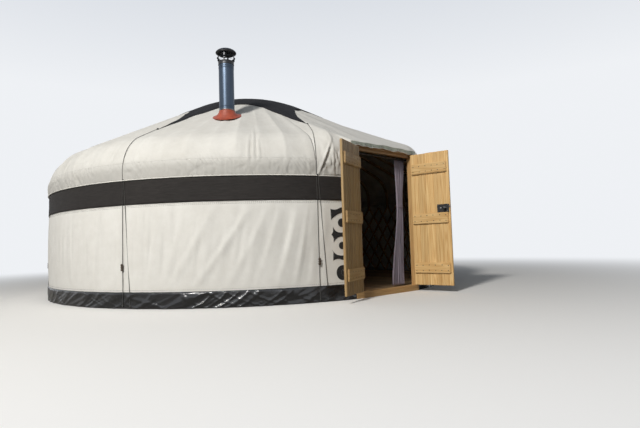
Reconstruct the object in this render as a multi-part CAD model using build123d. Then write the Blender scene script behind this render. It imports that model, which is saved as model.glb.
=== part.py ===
from build123d import *
from math import atan, cos, degrees, radians, sin, tan
import os

# A round lattice-walled tent with a boarded double door.
# Millimetres. The ground is z = 0, the axis of the round room is z, and the door faces -Y.
# Azimuths are degrees about z, 0 at the middle of the door, positive towards +X.

os.makedirs("parts", exist_ok=True)

# Cloth layers
wall_radius = 3050.0        # outside of the white wall cloth
cloth = 6.0                 # canvas with its felt lining
trim_cloth = 4.0            # dark band, dark skirt and cap
seat = 0.3                  # room between pieces that lie on each other

# Heights on the wall
skirt_height = 182.0
wall_hem = 60.0             # lower edge of the white wall, behind the skirt
band_low = 1152.0
band_high = 1425.0

# Roof form
roof_pitch = 27.0           # degrees below level
eaves_bend = 510.0          # outside radius of the bent eaves
bay_start = 20.0            # azimuth where the round roof ends beside the door
fold_radius = 1850.0        # where the ridges beside the door leave the round roof
ridge_pitch = 23.7          # the ridges' slope from there on
ridge_bend = 350.0          # outside radius of the ridges' bend
ridge_flat = 0.75           # half the azimuth of the flat strip on a ridge
bend_strips = 5             # flat strips that follow a bend beside the door

# Lattice wall
lattice_drop = 45.0         # its top below the top of the band
lath_width = 30.0
lath_thick = 12.0
lath_bite = 6.0             # depth to which crossing laths are let into each other
lath_count = 68             # laths in each direction round the full circle
lath_steps = 7              # crossings along one lath
lath_overrun = 80.0         # spare length that the level cuts remove
section_count = 4
section_gap = 0.01          # degrees between two sections

# Roof frame
pole_count = 34
pole_size = 36.0
crown_radius = 1080.0
crown_width = 60.0
crown_depth = 70.0
rib_depth = 24.0
rib_width = 30.0
rib_offset = 360.0
door_pole_drop = 2.2        # extra room under the flat panels over the door

# Floor
joist_height = 50.0
joist_width = 50.0
joist_pitch = 600.0
joist_end_inset = 20.0
board_thick = 20.0

# Door frame
door_recess = 35.0          # outside face of the frame, behind the wall's outermost line
opening_width = 1070.0
jamb_width = 58.0
jamb_depth = 70.0
sill_height = 72.0
door_head_under = 1805.0
head_rise = 52.5            # front of the head above the opening; the roof slope starts from it
head_stop = 36.0            # how far the stop behind the leaves hangs below the head
head_stop_depth = 40.0
flap_drop = 30.0            # canvas drip edge over the head
bay_margin = 21.7           # canvas beside the jambs, before it folds down

# Door leaves
leaf_bottom_gap = 8.0
leaf_top_gap = 8.0
leaf_side_gap = 6.0
leaf_meet_gap = 8.0
leaf_thick = 28.0
leaf_boards = 5
groove = 5.0
ledge_height = 115.0
ledge_thick = 20.0
ledge_inset = 25.0
ledge_bevel = 8.0
ledge_levels = (0.12, 0.50, 0.87)
left_open = 157.5           # degrees from closed
right_open = 100.3

# Hinges
pin_radius = 4.0
pin_play = 0.3
knuckle_radius = 7.0
pin_proud = 8.0             # pin centre in front of the door face
knuckle_height = 36.0
knuckle_gap = 1.0
strap_thick = 3.0
strap_length = 260.0
strap_tip_height = 20.0
strap_shoulder = 31.0       # where the strap starts to taper, from the pin
flap_width = 36.0

# Lock on the right leaf
lock_width = 150.0
lock_height = 100.0
lock_thick = 22.0
lock_level = 0.43
lock_inset = 14.0

# Star cap and stays
star_arms = 8
star_turn = -62.0           # azimuth of one arm
star_trough = 1269.0
star_tip = 1830.0
star_tip_width = 24.0
rope_radius = 5.0
rope_sides = 6
rope_foot = 20.0
rope_spread = 1.9           # degrees between the two strands at the ground
rope_apart = 0.35           # degrees between them at the top
rope_split_height = 1440.0
rope_lean = 3.0             # degrees by which a rope beside the door leans away from it
rope_lift = 1.5             # extra room under that rope, where the cloth twists
rope_steps = 5              # straight runs along the slope
cleat_height = 457.0
cleat_size = (16.0, 34.0, 80.0)  # depth, width and height

# Flue
flue_azimuth = -42.4
flue_distance = 2030.0
flue_radius = 99.0
flue_wall = 3.0
flue_tail = 190.0           # below the roof cloth at the pipe's axis
flue_rise = 730.0           # above it
flue_hole = 118.0
boot_rise = 72.0            # neck above the roof
boot_neck = 106.0
boot_foot = 165.0
boot_flange = 195.0
boot_thick = 4.0
boot_bite = 1.0             # height of the cone's foot within its flange
cowl_radius = 136.0
cowl_rise = 90.0            # the cowl's rim above the pipe's end
cowl_depth = 95.0
cowl_belly = 22.0
cowl_shoulder = 98.0        # radius and height of a point on the cowl's upper curve
cowl_shoulder_height = 65.0
cowl_lip = 117.0            # radius and height of a point on its lower curve
cowl_lip_height = 3.0
cowl_flat = 82.0            # radius where its hollow underside starts
collar_height = 45.0
cowl_leg = 22.0
cowl_leg_thick = 4.0
cowl_legs = 4

# Curtain inside the door
rail_radius = 9.0
rail_drop = 53.0            # its axis below the opening's top
rail_gap = 40.0             # its axis behind the frame
rail_overrun = 25.0         # past each side of the opening
bracket_width = 20.0
curtain_middle = 400.0
curtain_top_width = 220.0
curtain_waist_width = 110.0
curtain_foot_width = 240.0
curtain_depth = 56.0
curtain_waist_depth = 45.0
curtain_top_depth = 39.0
curtain_waist_height = 1120.0
curtain_foot_gap = 20.0

# Scroll panels beside the door
scroll_above_skirt = 16.0
scroll_below_band = 52.0
scroll_outer = 17.2         # azimuth of the far edge
scroll_thick = 2.0

# Sizes that follow from those above
roof_radius = wall_radius + seat + cloth
door_face = wall_radius - door_recess
lattice_top = band_high - lattice_drop
pitch_tan = tan(radians(roof_pitch))
pitch_cos = cos(radians(roof_pitch))
pitch_sin = sin(radians(roof_pitch))
wall_inside = wall_radius - cloth
floor_top = joist_height + board_thick
half_opening = opening_width / 2
jamb_outside = half_opening + jamb_width
frame_back = door_face - jamb_depth
crown_inside = crown_radius - crown_width
head_cover = cloth + seat + door_pole_drop
crown_height = door_head_under + head_rise + pitch_tan * (door_face - crown_radius) + head_cover / pitch_cos
bay_front = door_face + seat + cloth
bay_half = degrees(atan((jamb_outside + bay_margin) / bay_front))  # azimuth of the flat bay's edge
leaf_low = sill_height + leaf_bottom_gap
leaf_high = door_head_under - leaf_top_gap
hinge_x = half_opening - leaf_side_gap / 2
hinge_y = -(door_face + pin_proud)
pole_pitch = 360 / pole_count
ridge_angle = 1.5 * pole_pitch  # azimuth of the first bent pole beside the door
tall = 2 * crown_height         # taller than anything here, for cutting
spare_angle = 2.0               # degrees by which a round piece runs on before it is cut
upwards = (Align.CENTER, Align.CENTER, Align.MIN)
wall_cloth_top = band_high - seat


def save(name, *solids):
    """Writes one node."""
    shapes = [s for item in solids for s in item.solids()]
    shape = shapes[0] if len(shapes) == 1 else Compound(children=shapes)
    export_step(shape, f"parts/{name}.step")


def upright(azimuth):
    """The vertical plane through the axis: local x runs outwards, local y runs up."""
    a = radians(azimuth)
    return Plane(origin=(0, 0, 0), x_dir=(sin(a), -cos(a), 0), z_dir=(-cos(a), -sin(a), 0))


def place(radius, azimuth, z):
    a = radians(azimuth)
    return Vector(radius * sin(a), -radius * cos(a), z)


def roof_line(radius, inset=0.0):
    """Height of the straight roof slope, inset square to the cloth."""
    return crown_height - pitch_tan * (radius - crown_radius) - inset / pitch_cos


def ridge_line(radius, inset=0.0):
    """Height of a ridge beside the door, beyond the fold."""
    pitch = radians(ridge_pitch)
    return roof_line(fold_radius) - tan(pitch) * (radius - fold_radius) - inset / cos(pitch)


def bend_centre(line, pitch, upright_radius, bend, inset):
    """Centre of the arc that joins a slope to a vertical at upright_radius."""
    r = upright_radius - bend
    return r, line(r, inset) - bend / cos(radians(pitch))


def roof_edge(inset, upright_radius, bend, start, end):
    """The roof's outline in a vertical plane: slope, bent eaves, and wall down to a height."""
    r, z = bend_centre(roof_line, roof_pitch, upright_radius, bend, inset)
    half = radians(90 - roof_pitch) / 2
    top = (r + bend * pitch_sin, z + bend * pitch_cos)
    middle = (r + bend * cos(half), z + bend * sin(half))
    return [
        Line((start, roof_line(start, inset)), top),
        ThreePointArc(top, middle, (upright_radius, z)),
        Line((upright_radius, z), (upright_radius, end)),
    ]


def ridge_edge(inset, upright_radius, bend, start, end):
    """The same outline for a ridge beside the door, which is shallower beyond the fold."""
    pitch = radians(ridge_pitch)
    r, z = bend_centre(ridge_line, ridge_pitch, upright_radius, bend, inset)
    half = (radians(90) - pitch) / 2
    fold = (fold_radius, min(roof_line(fold_radius, inset), ridge_line(fold_radius, inset)))
    top = (r + bend * sin(pitch), z + bend * cos(pitch))
    middle = (r + bend * cos(half), z + bend * sin(half))
    return [
        Line((start, roof_line(start, inset)), fold),
        Line(fold, top),
        ThreePointArc(top, middle, (upright_radius, z)),
        Line((upright_radius, z), (upright_radius, end)),
    ]


def strip(outer, inner):
    """A face between two outlines that run the same way."""
    first = outer[0] @ 0, inner[0] @ 0
    last = outer[-1] @ 1, inner[-1] @ 1
    return make_face(outer + [Line(*first)] + inner + [Line(*last)])


def turned(face, start, end):
    """A face in the XZ profile, turned about z from one azimuth to another."""
    return revolve(upright(start) * face, Axis.Z, revolution_arc=end - start)


def ring_face(inner, outer, low, high):
    return make_face(Polyline((inner, low), (outer, low), (outer, high), (inner, high), close=True))


def block(low, high):
    """A box between two corners."""
    size = [b - a for a, b in zip(low, high)]
    return Pos(*[(a + b) / 2 for a, b in zip(low, high)]) * Box(*size)


door_way = block((-jamb_outside - seat, -2 * wall_radius, -tall), (jamb_outside + seat, 0, tall))


def round_panels(inner, outer, low, high, count):
    """Segments of a round wall, cut away for the door frame."""
    around = 360 - 2 * bay_half
    face = ring_face(inner, outer, low, high)
    panels = []
    for i in range(count):
        start = bay_half + i * around / count
        end = start + around / count
        if i == 0:
            start -= spare_angle
        if i == count - 1:
            end += spare_angle
        panels.append(turned(face, start, end) - door_way)
    return panels


# Floor
floor_radius = wall_inside - seat
disc = Pos(0, 0, joist_height) * Cylinder(floor_radius, board_thick, align=upwards)
behind_frame = block((-wall_radius, -frame_back + seat, 0), (wall_radius, wall_radius, floor_top))
beside_left = block((-wall_radius, -wall_radius, 0), (-jamb_outside - seat, 0, floor_top))
beside_right = block((jamb_outside + seat, -wall_radius, 0), (wall_radius, 0, floor_top))
save("floor_boards", disc & (behind_frame + beside_left + beside_right))

joists = []
joist_round = floor_radius - joist_end_inset
joist_rows = int((joist_round - joist_pitch / 2) // joist_pitch)
for i in range(-joist_rows, joist_rows + 1):
    y = i * joist_pitch
    reach = (joist_round ** 2 - (abs(y) + joist_width / 2) ** 2) ** 0.5
    joists.append(block((-reach, y - joist_width / 2, 0), (reach, y + joist_width / 2, joist_height)))
save("floor_joists", *joists)

# Lattice wall of straight laths: each lies on a ruling of the same waisted surface, so both ways cross
lattice_outside = wall_inside - seat
ruling_radius = lattice_outside - lath_thick
lath_pitch = 360 / lath_count
lath_sweep = lath_steps * lath_pitch / 2


def lath(azimuth, lean):
    """One straight lath whose upper end is at the azimuth; lean is +1 or -1."""
    high = place(ruling_radius, azimuth, lattice_top)
    low = place(ruling_radius, azimuth - lean * lath_sweep, floor_top)
    middle_azimuth = radians(azimuth - lean * lath_sweep / 2)
    outwards = Vector(sin(middle_azimuth), -cos(middle_azimuth), 0)
    along = high - low
    centre = (high + low) * 0.5 + outwards * lean * (lath_thick - lath_bite) / 2
    frame = Plane(origin=centre, x_dir=along, z_dir=outwards)
    return frame * Box(along.length + 2 * lath_overrun, lath_width, lath_thick)


around = 360 - 2 * bay_half
for i in range(section_count):
    start = bay_half + i * around / section_count
    end = start + around / section_count
    laths = []
    for lean in (1, -1):
        for j in range(-1, lath_count + 1):
            azimuth = j * lath_pitch
            span = sorted((azimuth, azimuth - lean * lath_sweep))
            if span[1] > start - spare_angle and span[0] < end + spare_angle:
                laths.append(lath(azimuth, lean))
    grid = laths[0].fuse(*laths[1:])
    low_cut = spare_angle if i == 0 else -section_gap
    high_cut = spare_angle if i == section_count - 1 else 0
    room = turned(ring_face(crown_radius, lattice_outside, floor_top, lattice_top),
                  start - low_cut, end + high_cut)
    section = (grid & room) - door_way
    save(f"lattice_{i + 1}", max(section.solids(), key=lambda s: s.volume))

# Crown ring and its domed ribs
dome_radius = crown_inside / pitch_sin
dome_centre = roof_line(crown_inside) - dome_radius * pitch_cos
crown_line = cloth + seat
crown_low = roof_line(crown_radius, crown_line) - crown_depth
crown_ring = make_face(Polyline(
    (crown_inside, crown_low), (crown_radius, crown_low),
    (crown_radius, roof_line(crown_radius, crown_line)),
    (crown_inside, roof_line(crown_inside, crown_line)), close=True))
save("crown_ring", revolve(upright(0) * crown_ring, Axis.Z))

shell = Pos(0, 0, dome_centre) * (Sphere(dome_radius - seat) - Sphere(dome_radius - seat - rib_depth))
bars = []
for k in (-1, 0, 1):
    for along_x in (True, False):
        near, far = k * rib_offset - rib_width / 2, k * rib_offset + rib_width / 2
        if along_x:
            low, high = (-crown_radius, near), (crown_radius, far)
        else:
            low, high = (near, -crown_radius), (far, crown_radius)
        bars.append(block((*low, crown_low), (*high, tall)))
inside_ring = Pos(0, 0, crown_low) * Cylinder(crown_inside - seat, crown_radius, align=upwards)
save("crown_ribs", shell & (bars[0] + bars[1:]) & inside_ring)

# Roof poles: straight from the crown, then bent down to stand on the lattice
pole_line = cloth + seat


def bent_pole(azimuth, line, edge, bend):
    """A pole whose top face lies at an inset from the roof's outside."""
    start, end = crown_radius + seat, lattice_top + seat
    outer = edge(line, lattice_outside, bend, start, end)
    inner = edge(line + pole_size, lattice_outside - pole_size, bend - pole_size, start, end)
    return extrude(upright(azimuth) * strip(outer, inner), pole_size / 2, both=True)


poles = []
for k in range(1, pole_count - 1):
    azimuth = (k + 0.5) * pole_pitch
    if k in (1, pole_count - 2):
        poles.append(bent_pole(azimuth, pole_line + door_pole_drop, ridge_edge, ridge_bend))
    else:
        poles.append(bent_pole(azimuth, pole_line, roof_edge, eaves_bend))
half = len(poles) // 2
save("roof_poles_right", *poles[:half])
save("roof_poles_left", *poles[half:])

door_poles = []
for azimuth in (-pole_pitch / 2, pole_pitch / 2):
    reach = (frame_back - seat) / cos(radians(azimuth))
    high, low = pole_line + door_pole_drop, pole_line + door_pole_drop + pole_size
    inner_end = crown_radius + seat
    face = make_face(Polyline(
        (inner_end, roof_line(inner_end, high)), (reach + pole_size, roof_line(reach + pole_size, high)),
        (reach + pole_size, roof_line(reach + pole_size, low)), (inner_end, roof_line(inner_end, low)),
        close=True))
    pole = extrude(upright(azimuth) * face, pole_size / 2, both=True)
    door_poles.append(pole & block((-wall_radius, -frame_back + seat, 0), (wall_radius, 0, tall)))
save("door_poles", *door_poles)

# Door frame
jamb = block((half_opening, -door_face, sill_height), (jamb_outside, -frame_back, door_head_under))
save("door_jambs", mirror(jamb, about=Plane.YZ), jamb)
save("door_sill", block((-jamb_outside, -door_face, 0), (jamb_outside, -frame_back, sill_height)))
head_front = roof_line(door_face, head_cover)
head_rear = roof_line(frame_back, head_cover)
head_section = Plane.YZ * make_face(Polyline(
    (-door_face, door_head_under), (-door_face, head_front), (-frame_back, head_rear),
    (-frame_back, door_head_under), close=True))
stop = block((-half_opening + seat, -frame_back - head_stop_depth, door_head_under - head_stop),
             (half_opening - seat, -frame_back, door_head_under))
save("door_head", extrude(head_section, jamb_outside, both=True) + stop)

# White wall, dark band and dark skirt
sides = ("right_front", "right_back", "left_back", "left_front")
for name, panel in zip(sides, round_panels(wall_inside, wall_radius, wall_hem, wall_cloth_top, 4)):
    save(f"wall_cloth_{name}", panel)
trim_inner = wall_radius + seat
trim_outer = trim_inner + trim_cloth
for name, panel in zip(sides, round_panels(trim_inner, trim_outer, 0, skirt_height, 4)):
    save(f"skirt_{name}", panel)
band_panels = round_panels(trim_inner, trim_outer, band_low, band_high - seat, 2)
for name, panel in zip(("right", "left"), band_panels):
    save(f"band_{name}", panel)

# Round part of the roof cloth
cloth_outer = roof_edge(0, roof_radius, eaves_bend, crown_inside + cloth, band_high)
cloth_inner = roof_edge(cloth, roof_radius - cloth, eaves_bend - cloth, crown_inside + cloth, band_high)
roof_face = strip(cloth_outer, cloth_inner)
flue_spot = place(flue_distance, flue_azimuth, 0)
flue_axis = Pos(flue_spot.X, flue_spot.Y, 0)
flue_low = roof_line(flue_distance) - flue_tail
flue_high = roof_line(flue_distance) + flue_rise


def flue_cylinder(radius, low, high):
    return flue_axis * Pos(0, 0, low) * Cylinder(radius, high - low, align=upwards)


roof_around = (360 - 2 * bay_start) / 4
for i, name in enumerate(sides):
    start = bay_start + i * roof_around
    gore = turned(roof_face, start, start + roof_around)
    if name == "left_front":
        gore -= flue_cylinder(flue_hole, flue_low, flue_high)
    save(f"roof_cloth_{name}", gore)

# Door bay: the slope runs straight on to the head, and folds down beside it to the round eaves
front_height = roof_line(bay_front)
crown_edge = (crown_radius + seat) / cos(radians(bay_half - pole_pitch / 2) / 2)
thick_up = cloth / pitch_cos
under_front = front_height + cloth * pitch_tan - thick_up


def bay_slope(azimuth):
    """Outline of the flat bay in an upright plane."""
    front = bay_front / cos(radians(azimuth))
    a, b = roof_line(crown_edge), roof_line(fold_radius)
    return make_face(Polyline(
        (crown_edge, a), (fold_radius, b), (front, front_height), (front, front_height - flap_drop),
        (front - cloth, front_height - flap_drop), (front - cloth, under_front),
        (fold_radius, b - thick_up), (crown_edge, a - thick_up), close=True))


steps = (-bay_half, -pole_pitch / 2, 0, pole_pitch / 2, bay_half)
bay = loft([upright(a) * bay_slope(a) for a in steps], ruled=True)


def bend_points(line, pitch, bend, inset):
    """Corners of flat strips laid round a bend, so that none cuts into it."""
    r, z = bend_centre(line, pitch, roof_radius, bend, 0)
    step = (90 - pitch) / bend_strips
    reach = (bend - inset) / cos(radians(step / 2))
    angles = [radians(90 - pitch - (i + 0.5) * step) for i in range(bend_strips)]
    return [(r + reach * cos(a), z + reach * sin(a)) for a in angles]


def slope_points(inset):
    return [(x, roof_line(x, inset)) for x in (crown_edge, fold_radius)]


def round_points(inset):
    bend = bend_points(roof_line, roof_pitch, eaves_bend, inset)
    return slope_points(inset) + bend + [(roof_radius - inset, band_high)]


def ridge_points(inset):
    bend = bend_points(ridge_line, ridge_pitch, ridge_bend, inset)
    return slope_points(inset) + bend + [(roof_radius - inset, band_high)]


def corner_points(inset):
    """Points on the outline at the corner of the door head, one for each of the ridge's."""
    front = bay_front / cos(radians(bay_half))
    slope = slope_points(inset)
    top = slope[-1]
    end = (front - inset, front_height + (inset * pitch_tan - inset / pitch_cos))
    shares = [(i + 1) / (bend_strips - 1) for i in range(bend_strips - 1)]
    along = [(top[0] + (end[0] - top[0]) * t, top[1] + (end[1] - top[1]) * t) for t in shares]
    side = roof_radius - inset
    level = bend_centre(ridge_line, ridge_pitch, roof_radius, ridge_bend, 0)[1]
    return slope + along + [(side, level), (side, band_high)]


def outline(points):
    return make_face(Polyline(*(points(0) + points(cloth)[::-1]), close=True))


cheeks = []
for side in (-1, 1):
    faces = [upright(side * a) * outline(points) for a, points in (
        (bay_start, round_points), (ridge_angle + ridge_flat, ridge_points),
        (ridge_angle - ridge_flat, ridge_points), (bay_half, corner_points))]
    cheeks.append(loft(faces, ruled=True))
save("roof_cloth_door_bay", bay + cheeks)

# Star cap over the crown
cap_in = -seat
cap_out = -seat - trim_cloth


def cap_curve(inset):
    """Dome and slope of the cap, from the axis outwards."""
    radius = dome_radius - inset
    edge = (radius * pitch_sin, dome_centre + radius * pitch_cos)
    half_pitch = radians(roof_pitch / 2)
    middle = (radius * sin(half_pitch), dome_centre + radius * cos(half_pitch))
    reach = star_tip + star_tip_width
    dome = ThreePointArc((0, dome_centre + radius), middle, edge)
    return [dome, Line(edge, (reach, roof_line(reach, inset)))]


cap_shell = revolve(upright(0) * strip(cap_curve(cap_out), cap_curve(cap_in)), Axis.Z)
arm_pitch = 360 / star_arms
star_lines = []
half_tip = star_tip_width / 2
for k in range(star_arms):
    a = radians(star_turn + k * arm_pitch)
    b = radians(star_turn + (k + 1) * arm_pitch)
    c = (a + b) / 2
    ahead = (star_tip * sin(a) + half_tip * cos(a), -star_tip * cos(a) + half_tip * sin(a))
    behind = (star_tip * sin(a) - half_tip * cos(a), -star_tip * cos(a) - half_tip * sin(a))
    after = (star_tip * sin(b) - half_tip * cos(b), -star_tip * cos(b) - half_tip * sin(b))
    trough = (star_trough * sin(c), -star_trough * cos(c))
    star_lines.append(Line(behind, ahead))
    star_lines.append(ThreePointArc(ahead, trough, after))
star_prism = extrude(make_face(star_lines), tall)
save("star_cap", cap_shell & star_prism)

# Stays from the cap's arms over the roof and down the wall
rope_flat = rope_radius * cos(radians(180 / rope_sides))
rope_out = seat + rope_flat
rope_wall = roof_radius + rope_out


def rope(points):
    """A bar with few sides along points given as radius, azimuth and height."""
    centres = [place(*p) for p in points]
    sections = []
    for i, centre in enumerate(centres):
        along = (centres[min(i + 1, len(centres) - 1)] - centres[max(i - 1, 0)]).normalized()
        a = radians(points[i][1])
        across = Vector(cos(a), sin(a), 0)
        section = RegularPolygon(rope_radius, rope_sides)
        sections.append(Plane(origin=centre, x_dir=across, z_dir=along) * section)
    return loft(sections, ruled=True)


def between(a, b, share):
    return tuple(p + (q - p) * share for p, q in zip(a, b))


def with_slope_steps(points):
    """The fold point, steps along the slope, and the bend's points."""
    fold, first = points[1], points[2]
    return [between(fold, first, (i + 1) / rope_steps) for i in range(rope_steps - 1)] + points[2:]


def rope_route(azimuth, wall_azimuth):
    """From an arm's tip over the cloth, which rises to a ridge beside the door, and down the wall."""
    out = rope_out + (0 if azimuth == wall_azimuth else rope_lift)
    start = (star_tip + rope_out, azimuth, roof_line(star_tip + rope_out, -out))
    route = [start]
    straight = roof_radius - eaves_bend - start[0]
    over_round, over_ridge = with_slope_steps(round_points(-out)), with_slope_steps(ridge_points(-out))
    for on_round, on_ridge in zip(over_round, over_ridge):
        at = azimuth + (wall_azimuth - azimuth) * min(1, (on_round[0] - start[0]) / straight)
        rise = max(0, bay_start - abs(at)) / (bay_start - ridge_angle - ridge_flat)
        r, z = between(on_round, on_ridge, rise)
        route.append((r, at, z))
    return route[:-1] + [(rope_wall, wall_azimuth, band_high), (rope_wall, wall_azimuth, rope_foot)]


cleat = Box(cleat_size[0], cleat_size[2], cleat_size[1])
ropes = []
cleats = []
for k in range(star_arms):
    azimuth = (star_turn + k * arm_pitch + 180) % 360 - 180
    away = 1 if azimuth > 0 else -1
    wall_azimuth = azimuth + (away * rope_lean if abs(azimuth) < bay_start else 0)
    ropes.append(rope(rope_route(azimuth, wall_azimuth)))
    beside = [(rope_wall, wall_azimuth - away * rope_apart, rope_split_height),
              (rope_wall + 2 * seat, wall_azimuth - away * rope_spread, rope_foot)]
    ropes.append(rope(beside))
    out = rope_wall + rope_flat + seat + cleat_size[0] / 2
    cleats.append(upright(wall_azimuth) * Pos(out, cleat_height, 0) * cleat)
save("guy_ropes", *ropes)
save("rope_cleats", *cleats)

# Flue pipe, its boot on the roof, and its cowl
pipe = flue_cylinder(flue_radius, flue_low, flue_high)
save("flue_pipe", pipe - flue_cylinder(flue_radius - flue_wall, flue_low, flue_high))


def roof_shell(low, high):
    """The slope's shell between two heights square to the cloth."""
    start_r, end_r = flue_distance - 2 * boot_flange, flue_distance + 2 * boot_flange
    corners = [(start_r, roof_line(start_r, -high)), (end_r, roof_line(end_r, -high)),
               (end_r, roof_line(end_r, -low)), (start_r, roof_line(start_r, -low))]
    face = make_face(Polyline(*corners, close=True))
    reach = degrees(2 * boot_flange / flue_distance)
    return turned(face, flue_azimuth - reach, flue_azimuth + reach)


bore = flue_cylinder(flue_radius + seat, flue_low, flue_high)
flange = (roof_shell(seat, seat + boot_thick) & flue_cylinder(boot_flange, 0, flue_high)) - bore


def slope_oval(radius, rise):
    """An outline level with the slope that a vertical cylinder of that radius would cut."""
    a = radians(flue_azimuth)
    down = Vector(sin(a) * pitch_cos, -cos(a) * pitch_cos, -pitch_sin)
    outwards = Vector(sin(a) * pitch_sin, -cos(a) * pitch_sin, pitch_cos)
    origin = (flue_spot.X, flue_spot.Y, roof_line(flue_distance) + rise)
    return Plane(origin=origin, x_dir=down, z_dir=outwards) * Ellipse(radius / pitch_cos, radius)


skirt_cone = loft([slope_oval(boot_foot, boot_bite), slope_oval(boot_neck, boot_rise)], ruled=True)
hollow = loft([slope_oval(boot_foot - boot_thick, boot_bite), slope_oval(boot_neck - boot_thick, boot_rise)],
              ruled=True)
boot = (skirt_cone - hollow) + (flange - hollow) - bore
save("flue_boot", boot)

cowl_rim = flue_high + cowl_rise
cowl_middle = cowl_rim + cowl_belly
cap_profile = make_face([
    Line((0, cowl_rim + cowl_belly / 2), (0, cowl_rim + cowl_depth)),
    ThreePointArc((0, cowl_rim + cowl_depth), (cowl_shoulder, cowl_rim + cowl_shoulder_height),
                  (cowl_radius, cowl_middle)),
    ThreePointArc((cowl_radius, cowl_middle), (cowl_lip, cowl_rim + cowl_lip_height),
                  (cowl_flat, cowl_rim)),
    Line((cowl_flat, cowl_rim), (0, cowl_rim + cowl_belly / 2)),
])
cowl = flue_axis * revolve(Plane.XZ * cap_profile, Axis.Z)
collar_in = flue_radius + seat
collar = flue_cylinder(collar_in + cowl_leg_thick, flue_high - collar_height, flue_high)
cowl += collar - flue_cylinder(collar_in, flue_low, flue_high)
for k in range(cowl_legs):
    leg = Rot(0, 0, 45 + k * 360 / cowl_legs) * block(
        (collar_in, -cowl_leg / 2, flue_high - collar_height / 2),
        (collar_in + cowl_leg_thick, cowl_leg / 2, cowl_middle))
    cowl += flue_axis * leg
save("flue_cowl", cowl)

# Door leaves, drawn closed and then swung open about their pins
leaf_width = hinge_x - leaf_side_gap / 2 - leaf_meet_gap / 2
leaf_height = leaf_high - leaf_low
board = leaf_width / leaf_boards


def board_section():
    """Plan of one leaf: boards with a V groove at each joint on both faces."""
    near, far = -door_face, -door_face + leaf_thick
    front = [(0, near)]
    back = [(0, far)]
    for k in range(1, leaf_boards):
        x = k * board
        front += [(x - groove, near), (x, near + groove), (x + groove, near)]
        back += [(x - groove, far), (x, far - groove), (x + groove, far)]
    front.append((leaf_width, near))
    back.append((leaf_width, far))
    return make_face(Polyline(*(front + back[::-1]), close=True))


def ledge(level):
    """One cross piece on the inside of a leaf, with bevelled long edges."""
    z = leaf_high - level * leaf_height
    y = -door_face + leaf_thick
    half_ledge = ledge_height / 2
    profile = Plane.YZ * make_face(Polyline(
        (y, z - half_ledge), (y + ledge_thick - ledge_bevel, z - half_ledge),
        (y + ledge_thick, z - half_ledge + ledge_bevel), (y + ledge_thick, z + half_ledge - ledge_bevel),
        (y + ledge_thick - ledge_bevel, z + half_ledge), (y, z + half_ledge), close=True))
    return Pos(ledge_inset / 2, 0, 0) * extrude(profile, leaf_width - 1.5 * ledge_inset)


def pin_level(level):
    return leaf_high - level * leaf_height


def strap(level):
    """A tapered strap with its knuckle; x is measured from the pin."""
    z = pin_level(level)
    half_knuckle = knuckle_height / 2
    outline_points = [(0, -half_knuckle), (strap_shoulder, -half_knuckle),
                      (strap_length, -strap_tip_height / 2), (strap_length, strap_tip_height / 2),
                      (strap_shoulder, half_knuckle), (0, half_knuckle)]
    plate = Plane(origin=(0, -door_face, z), x_dir=(1, 0, 0), z_dir=(0, -1, 0)) * extrude(
        make_face(Polyline(*outline_points, close=True)), strap_thick)
    barrel = Pos(0, hinge_y, z) * Cylinder(knuckle_radius, knuckle_height)
    hole = Pos(0, hinge_y, z) * Cylinder(pin_radius + pin_play, knuckle_height * 2)
    return plate + barrel - hole


def frame_flap(level):
    """The fixed half of a hinge: plate, two knuckles and the pin; x is measured from the pin."""
    z = pin_level(level)
    inner = knuckle_height / 2 + knuckle_gap
    outer = inner + knuckle_height
    plate = block((-knuckle_radius - flap_width, -door_face - strap_thick, z - outer),
                  (-knuckle_radius - pin_play, -door_face, z + outer))
    pieces = [plate]
    for low, high in ((z - outer, z - inner), (z + inner, z + outer)):
        pieces.append(block((-knuckle_radius - pin_play, -door_face - strap_thick, low),
                            (-leaf_side_gap / 2, -door_face, high)))
        pieces.append(Pos(0, hinge_y, (low + high) / 2) * Cylinder(knuckle_radius, high - low))
    pieces.append(Pos(0, hinge_y, z) * Cylinder(pin_radius, 2 * outer))
    return pieces[0] + pieces[1:]


def both_sides(shape, side):
    """Moves a shape drawn from the pin inwards to the left (-1) or right (+1) hinge."""
    if side < 0:
        return Pos(-hinge_x, 0, 0) * shape
    return Pos(hinge_x, 0, 0) * mirror(shape, about=Plane.YZ)


def swung(shape, side):
    """Opens a leaf piece about its pin."""
    angle = -left_open if side < 0 else right_open
    return shape.rotate(Axis((side * hinge_x, hinge_y, 0), (0, 0, 1)), angle)


boards = Pos(leaf_side_gap / 2, 0, leaf_low) * extrude(board_section(), leaf_height)
ledges = [Pos(leaf_side_gap / 2, 0, 0) * ledge(level) for level in ledge_levels]
straps = [strap(level) for level in ledge_levels]
flaps = [frame_flap(level) for level in ledge_levels]
for side, name in ((-1, "left"), (1, "right")):
    save(f"{name}_leaf_boards", swung(both_sides(boards, side), side))
    save(f"{name}_leaf_ledges", *[swung(both_sides(x, side), side) for x in ledges])
    save(f"{name}_leaf_straps", *[swung(both_sides(x, side), side) for x in straps])
save("hinge_flaps", *[both_sides(x, side) for side in (-1, 1) for x in flaps])

lock_z = leaf_high - lock_level * leaf_height
lock_far = leaf_side_gap / 2 + leaf_width - lock_inset
lock = block((lock_far - lock_width, -door_face + leaf_thick, lock_z - lock_height / 2),
             (lock_far, -door_face + leaf_thick + lock_thick, lock_z + lock_height / 2))
save("lock_case", swung(both_sides(lock, 1), 1))

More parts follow.
